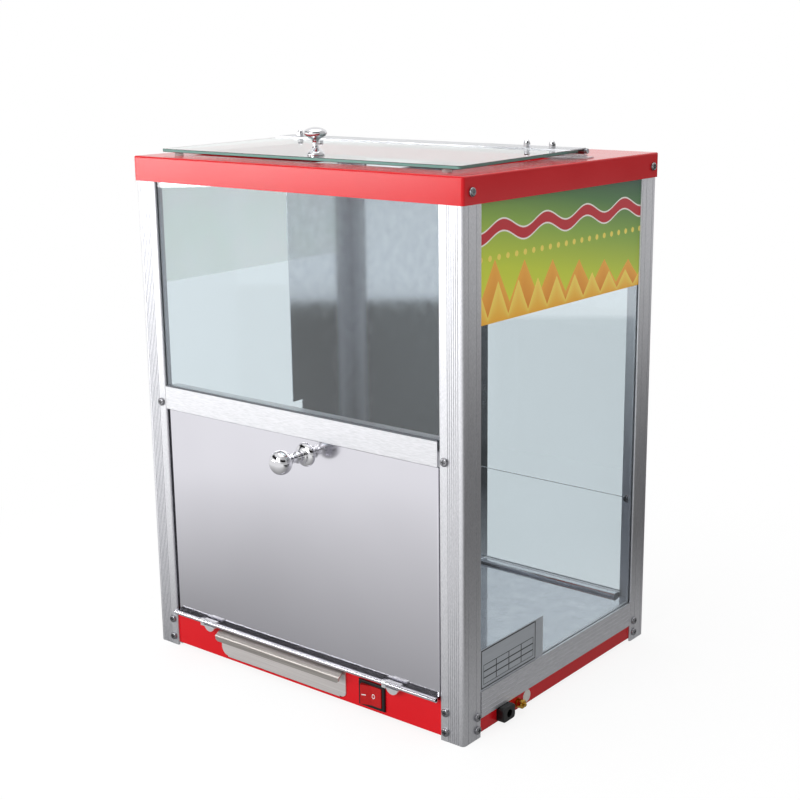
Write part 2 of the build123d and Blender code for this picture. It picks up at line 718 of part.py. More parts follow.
# ---- Door -------------------------------------------------------------------------------------
def door_panel():
    """Mirror-polished door with folded edges, drawn forward at the foot into a rolled lip."""
    half = DOOR_W / 2
    low = DOOR_LEDGE_TOP - DOOR_T
    door = block((-half, half), (DOOR_FACE, DOOR_BACK), (low, DOOR_TOP))
    door = fillet(door.edges().filter_by(Axis.Z).group_by(Axis.Y)[0], DOOR_FOLD_R)
    door -= block(
        (-half + DOOR_T, half - DOOR_T),
        (DOOR_FACE + DOOR_T, DOOR_BACK),
        (low, DOOR_TOP - DOOR_T),
    )
    door += block((-half, half), (ROLL_Y, DOOR_FACE), (low, DOOR_LEDGE_TOP))
    door += rod(ROLL_R, (-half, ROLL_Y, ROLL_Z), (1, 0, 0), DOOR_W)
    door -= rod(PIN_R + PIN_PLAY, (-half, ROLL_Y, ROLL_Z), (1, 0, 0), DOOR_W)
    seam = math.radians(SEAM_ANGLE)
    seam_y, seam_z = ROLL_Y - ROLL_R * math.cos(seam), ROLL_Z + ROLL_R * math.sin(seam)
    door -= rod(SEAM_W / 2, (-half, seam_y, seam_z), (1, 0, 0), DOOR_W)
    swing = ROLL_R + KNUCKLE_GAP
    for x in HINGE_XS:
        notch = (x - HINGE_TAB_R - KNUCKLE_L - KNUCKLE_GAP, x - HINGE_TAB_R + KNUCKLE_GAP)
        door -= block(notch, (ROLL_Y - swing, ROLL_Y + swing), (ROLL_Z - swing, ROLL_Z + swing))
    return door - rod(
        KNOB_SCREW_R + HOLE_PLAY, (DOOR_KNOB_X, DOOR_FACE - 1, DOOR_KNOB_Z), (0, 1, 0), DOOR_T + 2
    )


def door_bracket(x):
    """Fixed half of a door hinge: flange on the base panel, arm, hanging tab and knuckle."""
    swing = ROLL_R + KNUCKLE_GAP
    arm_top = ROLL_Z - swing - KNUCKLE_GAP
    arm_low = arm_top - BRACKET_T
    front = ROLL_Y - BRACKET_T / 2
    wide = (x - HINGE_TAB_R, x + HINGE_TAB_R)
    bracket = block(wide, (front, PANEL_FRONT), (arm_low, arm_top))
    bracket += block(wide, (PANEL_FRONT - BRACKET_T, PANEL_FRONT), (arm_low, PANEL_TOP - SHEET_T))
    drop = ROLL_Z - ROLL_R - HINGE_TAB_DROP + HINGE_TAB_R
    tab = Pos(x, front, drop) * Rot(90, 0, 0) * Cylinder(HINGE_TAB_R, HINGE_TAB_T)
    below_arm = block(
        (x - HINGE_TAB_R, x + HINGE_TAB_R), (front - HINGE_TAB_T, PANEL_FRONT), (0, arm_top)
    )
    bracket += tab & below_arm
    knuckle_x = x - HINGE_TAB_R - KNUCKLE_L
    knuckle_end = x - HINGE_TAB_R
    bracket += block(
        (knuckle_x, knuckle_end + 1), (front, ROLL_Y + ROLL_R * 0.6), (arm_low, arm_top)
    )
    bracket += block(
        (knuckle_x, knuckle_end - 0.1),
        (ROLL_Y - ROLL_R * 0.6, ROLL_Y + ROLL_R * 0.6),
        (arm_low, ROLL_Z),
    )
    bracket += rod(ROLL_R, (knuckle_x, ROLL_Y, ROLL_Z), (1, 0, 0), KNUCKLE_L - 0.1)
    return bracket - rod(
        PIN_R + PIN_PLAY, (knuckle_x - 1, ROLL_Y, ROLL_Z), (1, 0, 0), KNUCKLE_L + 2
    )


def door_pin(x):
    """Hinge pin in the rolled lip, through one knuckle."""
    start = x - HINGE_TAB_R - KNUCKLE_L / 2 - PIN_L / 2
    return rod(PIN_R, (start, ROLL_Y, ROLL_Z), (1, 0, 0), PIN_L)


def door_clip(x):
    """Small strap that holds the rolled lip down beside a hinge."""
    start = x - HINGE_TAB_R + KNUCKLE_GAP
    return block(
        (start, start + CLIP_L),
        (ROLL_Y - CLIP_OVER, ROLL_Y - CLIP_OVER + CLIP_W),
        (DOOR_LEDGE_TOP, DOOR_LEDGE_TOP + CLIP_T),
    )


def door_catch():
    """Magnet case hung under the middle rail, behind the door's top edge."""
    front = DOOR_BACK + CATCH_GAP
    case = block(
        (CATCH_X - CATCH_W / 2, CATCH_X + CATCH_W / 2),
        (front, front + CATCH_DEEP),
        (MID_RAIL_LOW - CATCH_H, MID_RAIL_LOW),
    )
    return fillet(case.edges().filter_by(Axis.Y), CATCH_EDGE_R)


def door_strike():
    """Steel plate inside the door, facing the magnet."""
    inner = DOOR_FACE + DOOR_T
    return block(
        (CATCH_X - CATCH_W / 2 + STRIKE_IN, CATCH_X + CATCH_W / 2 - STRIKE_IN),
        (inner, inner + STRIKE_T),
        (MID_RAIL_LOW - CATCH_H, DOOR_TOP - DOOR_T),
    )


def door_knob():
    """Chromed knob: rosette, ringed neck and mushroom head."""
    r, length, base = DOOR_KNOB_R, DOOR_KNOB_L, DOOR_ROSETTE_R
    points = [
        (0, 0), (base, 0), (base, length * 0.035), (base * 0.86, length * 0.076),
        (base * 0.62, length * 0.10), (base * 0.62, length * 0.135), (base * 0.46, length * 0.16),
        (base * 0.40, length * 0.206), (base * 0.52, length * 0.253), (base * 0.52, length * 0.288),
        (base * 0.38, length * 0.324), (base * 0.36, length * 0.45),
        (base * 0.48, length * 0.53), (r * 0.72, length * 0.60), (r * 0.95, length * 0.69),
        (r, length * 0.77), (r * 0.95, length * 0.86), (r * 0.76, length * 0.94),
        (r * 0.42, length * 0.985), (0, length),
    ]
    knob = turned(points, (DOOR_KNOB_X, DOOR_FACE, DOOR_KNOB_Z), (0, -1, 0))
    return knob - rod(
        KNOB_SCREW_R, (DOOR_KNOB_X, DOOR_FACE, DOOR_KNOB_Z), (0, -1, 0), length * 0.4
    )


def door_knob_screw():
    """Screw through the door into the knob, its head inside."""
    inner = DOOR_FACE + DOOR_T
    start = (DOOR_KNOB_X, inner, DOOR_KNOB_Z)
    head = rod(SCREW_HEAD_R, start, (0, 1, 0), STRIKE_T)
    return head + rod(KNOB_SCREW_R, start, (0, -1, 0), DOOR_T + DOOR_KNOB_L * 0.36)


# ---- Lid ----------------------------------------------------------------------------------------
def lid_glass():
    """Loose pane over the filling hole, drilled for the hinge bolts and the knob."""
    pane = block(
        (-LID_W / 2, LID_W / 2), (LID_FRONT, LID_REAR), (LID_GLASS_LOW, LID_GLASS_TOP)
    )
    pane = fillet(pane.edges().filter_by(Axis.Z), LID_CORNER_R)
    pane = chamfer(pane.faces().filter_by(Axis.Z).edges(), LID_CHAMFER)
    for x in NUT_XS:
        pane -= rod(LID_BOLT_R + HOLE_PLAY, (x, NUT_Y, LID_GLASS_LOW - 1), (0, 0, 1), LID_T + 2)
    return pane - rod(
        KNOB_SCREW_R + HOLE_PLAY, (LID_KNOB_X, LID_KNOB_Y, LID_GLASS_LOW - 1), (0, 0, 1), LID_T + 2
    )


def knuckle_spans(moving):
    """The X limits of the knuckles that belong to one leaf of the lid hinge."""
    pitch = BARREL_L / LEAF_KNUCKLES
    spans = []
    for index in range(LEAF_KNUCKLES):
        if (index % 2 == 0) == moving:
            low = -BARREL_L / 2 + index * pitch
            spans.append((low + LEAF_GAP / 2, low + pitch - LEAF_GAP / 2))
    return spans


def lid_moving_leaf():
    """Leaf on top of the glass, with its knuckles round the pin."""
    flat_y = (LID_AXIS_Y - LEAF_W - BARREL_R, LID_AXIS_Y - BARREL_R - LEAF_GAP)
    leaf = block((-BARREL_L / 2, BARREL_L / 2), flat_y, (LID_GLASS_TOP, LID_GLASS_TOP + LEAF_T))
    for low, high in knuckle_spans(True):
        leaf += block(
            (low, high), (flat_y[1] - 1, LID_AXIS_Y), (LID_GLASS_TOP, LID_GLASS_TOP + LEAF_T)
        )
        leaf += rod(BARREL_R, (low, LID_AXIS_Y, LID_AXIS_Z), (1, 0, 0), high - low)
    leaf -= rod(
        LID_PIN_R + LID_PIN_PLAY, (-BARREL_L, LID_AXIS_Y, LID_AXIS_Z), (1, 0, 0), 2 * BARREL_L
    )
    for x in NUT_XS:
        leaf -= rod(LID_BOLT_R + HOLE_PLAY, (x, NUT_Y, LID_GLASS_TOP - 1), (0, 0, 1), LEAF_T + 2)
    return leaf


def rivet_places():
    y = LID_AXIS_Y + BARREL_R + LEAF_FOOT / 2
    return [(x * RIVET_SPACING / 2, y) for x in (-3, -1, 1, 3)]


def lid_fixed_leaf():
    """Leaf on the cap: a foot, an upright and the knuckles between the moving ones."""
    upright_y = (LID_AXIS_Y + BARREL_R - LEAF_T, LID_AXIS_Y + BARREL_R)
    foot_y = (upright_y[0], LID_AXIS_Y + BARREL_R + LEAF_FOOT)
    leaf = block((-BARREL_L / 2, BARREL_L / 2), foot_y, (CAP_TOP, CAP_TOP + LEAF_T))
    clear_top = LID_AXIS_Z - BARREL_R - LEAF_GAP
    leaf += block((-BARREL_L / 2, BARREL_L / 2), upright_y, (CAP_TOP, clear_top))
    for low, high in knuckle_spans(False):
        leaf += block((low, high), upright_y, (CAP_TOP, LID_AXIS_Z))
        leaf += rod(BARREL_R, (low, LID_AXIS_Y, LID_AXIS_Z), (1, 0, 0), high - low)
    leaf -= rod(
        LID_PIN_R + LID_PIN_PLAY, (-BARREL_L, LID_AXIS_Y, LID_AXIS_Z), (1, 0, 0), 2 * BARREL_L
    )
    for x, y in rivet_places():
        leaf -= rod(RIVET_R * 0.6, (x, y, CAP_TOP - 1), (0, 0, 1), LEAF_T + 2)
    return leaf


def lid_rivet(x, y):
    head = turned(
        [(0, 0), (RIVET_R, 0), (RIVET_R * 0.8, RIVET_H * 0.7), (0, RIVET_H)],
        (x, y, CAP_TOP + LEAF_T),
        (0, 0, 1),
    )
    return head + rod(RIVET_R * 0.6, (x, y, CAP_TOP), (0, 0, 1), LEAF_T)


def lid_nut(x):
    """Domed hexagon nut on the leaf."""
    base = LID_GLASS_TOP + LEAF_T
    hexagon = extrude(RegularPolygon(NUT_R, 6), amount=NUT_H * 0.45)
    r = NUT_R * 0.88
    dome = turned(
        [(0, 0), (r, 0), (r, NUT_H - r), (r * 0.87, NUT_H - r * 0.5), (r * 0.5, NUT_H - r * 0.13),
         (0, NUT_H)],
        (0, 0, 0),
        (0, 0, 1),
    )
    return Pos(x, NUT_Y, base) * (hexagon + dome - rod(LID_BOLT_R, (0, 0, 0), (0, 0, 1), NUT_H * 0.6))


def lid_bolt(x):
    """Low-headed bolt from under the glass into a domed nut."""
    head = turned(
        [(0, 0), (NUT_R, 0), (NUT_R, 1.0), (NUT_R * 0.7, 1.9), (0, 2.2)],
        (x, NUT_Y, LID_GLASS_LOW),
        (0, 0, -1),
    )
    shank = rod(
        LID_BOLT_R, (x, NUT_Y, LID_GLASS_LOW), (0, 0, 1), LID_T + LEAF_T + NUT_H * 0.5
    )
    return head + shank


def lid_pin():
    length = BARREL_L + 2.0
    pin = rod(LID_PIN_R, (-length / 2, LID_AXIS_Y, LID_AXIS_Z), (1, 0, 0), length)
    head = rod(BARREL_R * 0.8, (length / 2, LID_AXIS_Y, LID_AXIS_Z), (1, 0, 0), 1.2)
    return pin + head


def lid_knob():
    """Chromed knob on the glass: base, thin neck and flat crowned head."""
    r, neck, height, base = LID_KNOB_R, LID_KNOB_NECK_R, LID_KNOB_H, LID_KNOB_BASE_R
    points = [
        (0, 0), (base, 0), (base, height * 0.06), (base * 0.86, height * 0.13),
        (neck * 1.9, height * 0.20), (neck * 1.15, height * 0.27), (neck, height * 0.38),
        (neck, height * 0.48), (neck * 1.4, height * 0.55), (neck * 2.4, height * 0.61),
        (r * 0.90, height * 0.68), (r, height * 0.76), (r, height * 0.82),
        (r * 0.93, height * 0.88), (r * 0.70, height * 0.94), (r * 0.35, height * 0.985),
        (0, height),
    ]
    place = (LID_KNOB_X, LID_KNOB_Y, LID_GLASS_TOP)
    return turned(points, place, (0, 0, 1)) - rod(KNOB_SCREW_R, place, (0, 0, 1), height * 0.55)


def lid_knob_screw():
    """Screw and washer from under the glass into the lid knob."""
    place = (LID_KNOB_X, LID_KNOB_Y, LID_GLASS_LOW)
    head = turned(
        [(0, 0), (SCREW_HEAD_R * 1.5, 0), (SCREW_HEAD_R * 1.5, 0.6), (SCREW_HEAD_R, 0.6),
         (SCREW_HEAD_R * 0.8, 1.9), (0, 2.2)],
        place,
        (0, 0, -1),
    )
    return head + rod(KNOB_SCREW_R, place, (0, 0, 1), LID_T + LID_KNOB_H * 0.5)


def lid_bumper(side):
    """Clear rubber button on the cap, under a front corner of the lid."""
    points = [
        (0, 0), (BUMPER_R, 0), (BUMPER_R, BUMPER_H * 0.5), (BUMPER_R * 0.8, BUMPER_H * 0.92),
        (BUMPER_R * 0.6, BUMPER_H), (0, BUMPER_H),
    ]
    return turned(points, (side * BUMPER_X, BUMPER_Y, CAP_TOP), (0, 0, 1))


# ---- Crumb tray -----------------------------------------------------------------------------------
def crumb_tray():
    """Open tray with a plain front plate, its lower corners rounded."""
    plate = block(
        (TRAY_LEFT, TRAY_RIGHT), (TRAY_PLATE_BACK - SHEET_T, TRAY_PLATE_BACK), (TRAY_LOW, TRAY_TOP)
    )
    corners = plate.edges().filter_by(Axis.Y).group_by(Axis.Z)[0].sort_by(Axis.X)
    plate = fillet(corners[0], TRAY_LEFT_CORNER_R)
    corners = plate.edges().filter_by(Axis.Y).sort_by(lambda e: math.dist(
        (e.center().X, e.center().Z), (TRAY_RIGHT, TRAY_LOW)
    ))
    plate = fillet(corners[0], TRAY_RIGHT_CORNER_R)
    x = (TRAY_BOX_LEFT, TRAY_BOX_RIGHT)
    y = (TRAY_PLATE_BACK - SHEET_T, TRAY_REAR)
    z = (TRAY_FLOOR, TRAY_FLOOR + TRAY_WALL_H)
    box = block(x, y, z) - block(
        (x[0] + SHEET_T, x[1] - SHEET_T), (y[0] + SHEET_T, y[1] - SHEET_T), (z[0] + SHEET_T, z[1])
    )
    return plate + box


def tray_pull():
    """Pull lip folded out and down along the top of the tray's front plate."""
    back = TRAY_PLATE_BACK - SHEET_T
    front = back - PULL_OUT
    top, low = TRAY_TOP, TRAY_TOP - PULL_H
    turn = top - PULL_FALL - PULL_BEND
    points = [
        (back, top), (front + PULL_BEND, top - PULL_FALL),
        (front + PULL_BEND * 0.3, turn + PULL_BEND * 0.7), (front, turn), (front, low),
        (front + SHEET_T, low), (front + SHEET_T, turn),
        (front + SHEET_T + PULL_BEND * 0.3, top - PULL_FALL - SHEET_T),
        (back - SHEET_T, top - SHEET_T), (back - SHEET_T, top - PULL_LEG), (back, top - PULL_LEG),
    ]
    lip = bar_x(points, TRAY_LEFT + PULL_IN, TRAY_RIGHT - PULL_IN)
    return fillet(lip.edges().filter_by(Axis.Y).group_by(Axis.Z)[0], PULL_CORNER_R)


def tray_runner(side):
    """Steel angle on the bottom plate that guides one side of the tray."""
    edge = TRAY_BOX_LEFT if side < 0 else TRAY_BOX_RIGHT
    wall = sorted((edge + side * RUNNER_PLAY, edge + side * (RUNNER_PLAY + SHEET_T)))
    foot = sorted((edge - side * RUNNER_FOOT, edge + side * (RUNNER_PLAY + SHEET_T)))
    y = (PANEL_FRONT + SHEET_T + RUNNER_PLAY, TRAY_REAR)
    return block(foot, y, (BASE_FLOOR_TOP, BASE_FLOOR_TOP + SHEET_T)) + block(
        wall, y, (BASE_FLOOR_TOP, BASE_FLOOR_TOP + RUNNER_H)
    )


# ---- Switch -----------------------------------------------------------------------------------------
def switch_body():
    """Black bezel and case of the switch, hollow for the rocker."""
    half_w, half_h = SWITCH_W / 2, SWITCH_H / 2
    bezel = block(
        (SWITCH_X - half_w, SWITCH_X + half_w),
        (BEZEL_FACE, PANEL_FRONT),
        (SWITCH_Z - half_h, SWITCH_Z + half_h),
    )
    bezel = fillet(bezel.faces().sort_by(Axis.Y)[0].edges(), BEZEL_EDGE_R)
    case = block(
        (SWITCH_X - SWITCH_BODY_W / 2, SWITCH_X + SWITCH_BODY_W / 2),
        (PANEL_FRONT, PANEL_FRONT + SWITCH_BODY_DEEP),
        (SWITCH_Z - SWITCH_BODY_H / 2, SWITCH_Z + SWITCH_BODY_H / 2),
    )
    cave_w = ROCKER_SWING_R + ROCKER_PLAY
    cave_h = ROCKER_H / 2 + ROCKER_PLAY
    swing = math.radians(ROCKER_TILT)
    cave_deep = ROCKER_BACK * math.cos(swing) + ROCKER_SWING_R * math.sin(swing) + ROCKER_PLAY
    cave = block(
        (SWITCH_X - cave_w, SWITCH_X + cave_w),
        (BEZEL_FACE - 1, ROCKER_AXIS_Y + cave_deep),
        (SWITCH_Z - cave_h, SWITCH_Z + cave_h),
    )
    pivot = (SWITCH_X, ROCKER_AXIS_Y, SWITCH_Z - cave_h - TRUNNION_L)
    sockets = rod(TRUNNION_R + TRUNNION_PLAY, pivot, (0, 0, 1), 2 * (cave_h + TRUNNION_L))
    return bezel + case - cave - sockets


def switch_rocker():
    """Rocker with two flat facets and a trunnion at each end, its right half pressed in."""
    swing = Cylinder(ROCKER_SWING_R, ROCKER_H)
    reach = 2 * ROCKER_SWING_R
    rise = ROCKER_FACE + reach * math.tan(math.radians(ROCKER_TILT))
    outline = make_face(
        Polyline((-reach, ROCKER_BACK), (-reach, -rise), (0, -ROCKER_FACE), (reach, -rise),
                 (reach, ROCKER_BACK), close=True)
    )
    wedge = Pos(0, 0, -ROCKER_H / 2) * extrude(outline, amount=ROCKER_H)
    rocker = swing & wedge
    rocker += Cylinder(TRUNNION_R, ROCKER_H + 2 * (ROCKER_PLAY + TRUNNION_L * 0.8))
    return Pos(SWITCH_X, ROCKER_AXIS_Y, SWITCH_Z) * Rot(0, 0, ROCKER_TILT) * rocker


def switch_spade(index):
    """One tinned terminal at the back of the switch."""
    back = PANEL_FRONT + SWITCH_BODY_DEEP
    x = SWITCH_X + (index - 1) * SPADE_PITCH
    return block(
        (x - SPADE_T / 2, x + SPADE_T / 2),
        (back, back + SPADE_L),
        (SWITCH_Z - SPADE_W / 2, SWITCH_Z + SPADE_W / 2),
    )


# ---- Mains entry -------------------------------------------------------------------------------------
def cord_gland():
    """Black bushing in the right-hand base panel that the mains cord enters through."""
    face = RIGHT - PANEL_FACE
    body = block(
        (face, face + GLAND_OUT),
        (GLAND_Y - GLAND_W / 2, GLAND_Y + GLAND_W / 2),
        (GLAND_Z - GLAND_H / 2, GLAND_Z + GLAND_H / 2),
    )
    body = fillet(body.edges().filter_by(Axis.X), GLAND_CORNER_R)
    body = fillet(body.faces().sort_by(Axis.X)[-1].edges(), GLAND_EDGE_R)
    body += rod(GLAND_NECK_R, (face, GLAND_Y, GLAND_Z), (-1, 0, 0), GLAND_IN)
    return body - rod(
        GLAND_BORE_R, (face - GLAND_IN - 1, GLAND_Y, GLAND_Z), (1, 0, 0), GLAND_IN + GLAND_OUT + 2
    )


def earth_terminal():
    """Brass earth stud with its washer and round nut outside and a nut inside."""
    face = RIGHT - PANEL_FACE
    washer, neck = EARTH_WASHER_T, EARTH_R * 0.62
    points = [
        (0, 0), (EARTH_R, 0), (EARTH_R, washer), (neck, washer), (neck, EARTH_ROUND_FROM),
        (EARTH_R * 0.95, EARTH_ROUND_FROM), (EARTH_R * 0.95, EARTH_ROUND_END - EARTH_ROUND_EDGE),
        (EARTH_R * 0.8, EARTH_ROUND_END), (EARTH_STUD_R, EARTH_ROUND_END),
        (EARTH_STUD_R, EARTH_OUT - EARTH_STUD_EDGE), (EARTH_STUD_R - EARTH_STUD_EDGE, EARTH_OUT),
        (0, EARTH_OUT),
    ]
    outside = turned(points, (face, EARTH_Y, EARTH_Z), (1, 0, 0))
    stud = rod(EARTH_STUD_R, (face, EARTH_Y, EARTH_Z), (-1, 0, 0), SHEET_T + EARTH_STUD_IN)
    nut = Plane(origin=(face - SHEET_T, EARTH_Y, EARTH_Z), z_dir=(-1, 0, 0)).location * extrude(
        RegularPolygon(EARTH_NUT_R, 6), amount=EARTH_NUT_H
    )
    return outside + stud + nut


def earth_disc():
    """Small white disc stuck on the panel beside the earth terminal."""
    return rod(DISC_R, (RIGHT - PANEL_FACE, DISC_Y, GLAND_Z), (1, 0, 0), FILM_T)


# ---- Heater and wiring ---------------------------------------------------------------------------------
def heater():
    """Sheathed heating tube in a U under the floor pan, its ends to the right."""
    bend = (HEATER_REAR - HEATER_FRONT) / 2 - 1
    path = FilletPolyline(
        (HEATER_RIGHT, HEATER_FRONT, HEATER_Z),
        (HEATER_LEFT, HEATER_FRONT, HEATER_Z),
        (HEATER_LEFT, HEATER_REAR, HEATER_Z),
        (HEATER_RIGHT, HEATER_REAR, HEATER_Z),
        radius=bend,
    )
    start = Plane(origin=(HEATER_RIGHT, HEATER_FRONT, HEATER_Z), z_dir=(-1, 0, 0))
    tube = sweep(start * Circle(HEATER_R), path=path)
    for y in (HEATER_FRONT, HEATER_REAR):
        tube += rod(HEATER_END_R, (HEATER_RIGHT, y, HEATER_Z), (1, 0, 0), HEATER_END_L)
    return tube


def heater_clamp(x):
    """Strap that holds both runs of the heater up against the pan."""
    low = HEATER_Z - HEATER_R - CLAMP_T
    shelf = PAN_TOP - SHEET_T
    reach = HEATER_R + CLAMP_T
    clamp = block(
        (x - CLAMP_W / 2, x + CLAMP_W / 2),
        (HEATER_FRONT - reach, HEATER_REAR + reach),
        (low, low + CLAMP_T),
    )
    ends = (
        (HEATER_FRONT - reach, HEATER_FRONT - HEATER_R),
        (HEATER_REAR + HEATER_R, HEATER_REAR + reach),
    )
    for y in ends:
        clamp += block((x - CLAMP_W / 2, x + CLAMP_W / 2), y, (low, shelf))
    return clamp


def thermostat():
    """Snap-disc thermostat under the floor pan."""
    shelf = PAN_TOP - SHEET_T
    r, h, flange = THERMOSTAT_R, THERMOSTAT_H, THERMOSTAT_FLANGE_T
    points = [(0, 0), (r, 0), (r, flange), (r * 0.9, flange), (r * 0.9, h), (0, h)]
    body = turned(points, (THERMOSTAT_X, THERMOSTAT_Y, shelf), (0, 0, -1))
    for side in (-1, 1):
        x = THERMOSTAT_X + side * r * 0.5
        body += block(
            (x - SPADE_T / 2, x + SPADE_T / 2),
            (THERMOSTAT_Y - SPADE_W / 2, THERMOSTAT_Y + SPADE_W / 2),
            (shelf - h - SPADE_L * 0.8, shelf - h),
        )
    return body


def terminal_block():
    """Three-way terminal block on the bottom plate, behind the mains entry."""
    w, d, h = BLOCK_SIZE
    body = block(
        (BLOCK_X - w / 2, BLOCK_X + w / 2),
        (BLOCK_Y - d / 2, BLOCK_Y + d / 2),
        (BASE_FLOOR_TOP, BASE_FLOOR_TOP + h),
    )
    for way in (-1, 0, 1):
        y = BLOCK_Y + way * WIRE_SPACING
        foot = (BLOCK_X, y, BASE_FLOOR_TOP + h - BLOCK_SCREW_DEEP)
        body -= rod(BLOCK_WAY_R * 0.7, foot, (0, 0, 1), 2 * BLOCK_SCREW_DEEP)
    return body


def wire(*points):
    """One insulated wire along straight runs with round bends."""
    path = FilletPolyline(*points, radius=WIRE_BEND)
    first, second = Vector(*points[0]), Vector(*points[1])
    start = Plane(origin=first, z_dir=(second - first).normalized())
    return sweep(start * Circle(WIRE_R), path=path)


def wiring():
    """Wires between the terminal block, switch, thermostat, heater and earth stud."""
    block_z = BASE_FLOOR_TOP + BLOCK_SIZE[2] * 0.4
    block_left = BLOCK_X - BLOCK_SIZE[0] / 2
    block_right = BLOCK_X + BLOCK_SIZE[0] / 2
    live_y = BLOCK_Y - WIRE_SPACING
    spade_end = PANEL_FRONT + SWITCH_BODY_DEEP + SPADE_L
    live_x = SWITCH_X + SPADE_PITCH
    run_z = SWITCH_Z - SPADE_W / 2 + WIRE_R
    spades_low = PAN_TOP - SHEET_T - THERMOSTAT_H - SPADE_L * 0.8
    inlet_x = THERMOSTAT_X - THERMOSTAT_R / 2
    outlet_x = THERMOSTAT_X + THERMOSTAT_R / 2
    heater_end = HEATER_RIGHT + HEATER_END_L
    heater_turn = heater_end + 2 * WIRE_BEND
    neutral_x = block_right + 3 * WIRE_BEND
    stud_end = RIGHT - PANEL_FACE - SHEET_T - EARTH_STUD_IN
    return [
        wire((block_left, live_y, run_z), (live_x, live_y, run_z), (live_x, spade_end, run_z)),
        wire(
            (SWITCH_X, spade_end, run_z),
            (SWITCH_X, THERMOSTAT_Y, run_z),
            (inlet_x, THERMOSTAT_Y, run_z),
            (inlet_x, THERMOSTAT_Y, spades_low),
        ),
        wire(
            (outlet_x, THERMOSTAT_Y, spades_low),
            (outlet_x, THERMOSTAT_Y, run_z),
            (heater_turn, THERMOSTAT_Y, run_z),
            (heater_turn, HEATER_FRONT, run_z),
            (heater_turn, HEATER_FRONT, HEATER_Z),
            (heater_end, HEATER_FRONT, HEATER_Z),
        ),
        wire(
            (block_right, BLOCK_Y, block_z),
            (neutral_x, BLOCK_Y, block_z),
            (neutral_x, HEATER_REAR, block_z),
            (neutral_x, HEATER_REAR, HEATER_Z),
            (heater_end, HEATER_REAR, HEATER_Z),
        ),
        rod(WIRE_R, (block_right, EARTH_Y, EARTH_Z), (1, 0, 0), stud_end - block_right),
    ]


# ---- Every piece, one file each ---------------------------------------------------------------------
def main():
    os.makedirs("parts", exist_ok=True)
    posts = four_corners(corner_post())
    for corner, post in posts.items():
        write(f"post_{corner}", post - POST_HOLES - CAP_HOLES - PANE_HOLES)
    write("mid_rail", middle_rail())
    write("side_rail_right", right_side_rail() - mains_holes())
    write("side_rail_left", mirror(right_side_rail(), about=Plane.YZ))
    write("rear_rail", rear_rail())

    write("front_glass", cross_pane(-1, MID_RAIL_TOP - PANE_SEAT + GLASS_PLAY, PANE_TOP))
    write("rear_glass_upper", cross_pane(1, REAR_JOINT_Z + PANE_JOINT / 2, PANE_TOP))
    write(
        "rear_glass_lower",
        cross_pane(1, BASE_RAIL_TOP - PANE_SEAT + GLASS_PLAY, REAR_JOINT_Z - PANE_JOINT / 2),
    )
    write("front_glass_bead", front_bead())
    film_y = BAY_Y - GLASS_PLAY
    for side, name in ((-1, "left"), (1, "right")):
        write(f"{name}_glass", side_pane(side))
        write(f"sticker_{name}", side_film(side, (-film_y, film_y), (STICKER_LOW, CAP_LOW)))
        write(f"base_{name}_panel", side_panel(side))
    write(
        "rating_plate",
        side_film(1, (-film_y, PLATE_REAR), (BASE_RAIL_TOP, BASE_RAIL_TOP + PLATE_H)),
    )

    write("top_cap", cap())
    write("base_front_panel", front_panel())
    write("base_rear_panel", cross_panel(1))
    write("bottom_plate", bottom_plate())
    write("floor_pan", floor_pan())
    write("divider", divider())

    write("door_panel", door_panel())
    write("door_hinge_brackets", *[door_bracket(x) for x in HINGE_XS])
    write("door_hinge_pins", *[door_pin(x) for x in HINGE_XS])
    write("door_hinge_clips", *[door_clip(x) for x in HINGE_XS])
    write("door_magnet", door_catch())
    write("door_strike", door_strike())
    write("door_knob", door_knob())
    write("door_knob_screw", door_knob_screw())

    write("lid_glass", LID_TILT_LOCATION * lid_glass())
    write("lid_hinge_moving_leaf", LID_TILT_LOCATION * lid_moving_leaf())
    write("lid_hinge_nuts", *[LID_TILT_LOCATION * lid_nut(x) for x in NUT_XS])
    write("lid_hinge_bolts", *[LID_TILT_LOCATION * lid_bolt(x) for x in NUT_XS])
    write("lid_knob", LID_TILT_LOCATION * lid_knob())
    write("lid_knob_screw", LID_TILT_LOCATION * lid_knob_screw())
    write("lid_hinge_fixed_leaf", lid_fixed_leaf())
    write("lid_hinge_rivets", *[lid_rivet(x, y) for x, y in rivet_places()])
    write("lid_hinge_pin", lid_pin())
    write("lid_bumpers", *[lid_bumper(side) for side in (-1, 1)])

    write("crumb_tray", crumb_tray())
    write("tray_pull", tray_pull())
    write("tray_runners", *[tray_runner(side) for side in (-1, 1)])

    write("switch_body", switch_body())
    write("switch_rocker", switch_rocker())
    write("switch_terminals", *[switch_spade(index) for index in range(3)])
    write("cord_gland", cord_gland())
    write("earth_terminal", earth_terminal())
    write("earth_disc", earth_disc())
    write("heater", heater())
    write("heater_clamps", *[heater_clamp(x) for x in CLAMP_X])
    write("thermostat", thermostat())
    write("terminal_block", terminal_block())
    write("wiring", *wiring())

    screws = [pan_screw(point, facing) for point, facing in post_screw_places()]
    for point, facing in pane_screw_places():
        screws.append(pan_screw(point, facing, POST_WALL_T))
    write("post_screws", *screws)
    write("cap_screws", *[pan_screw(point, facing) for point, facing in cap_screw_places()])


main()
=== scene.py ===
import math

import bmesh
import bpy
from mathutils import Matrix, Vector


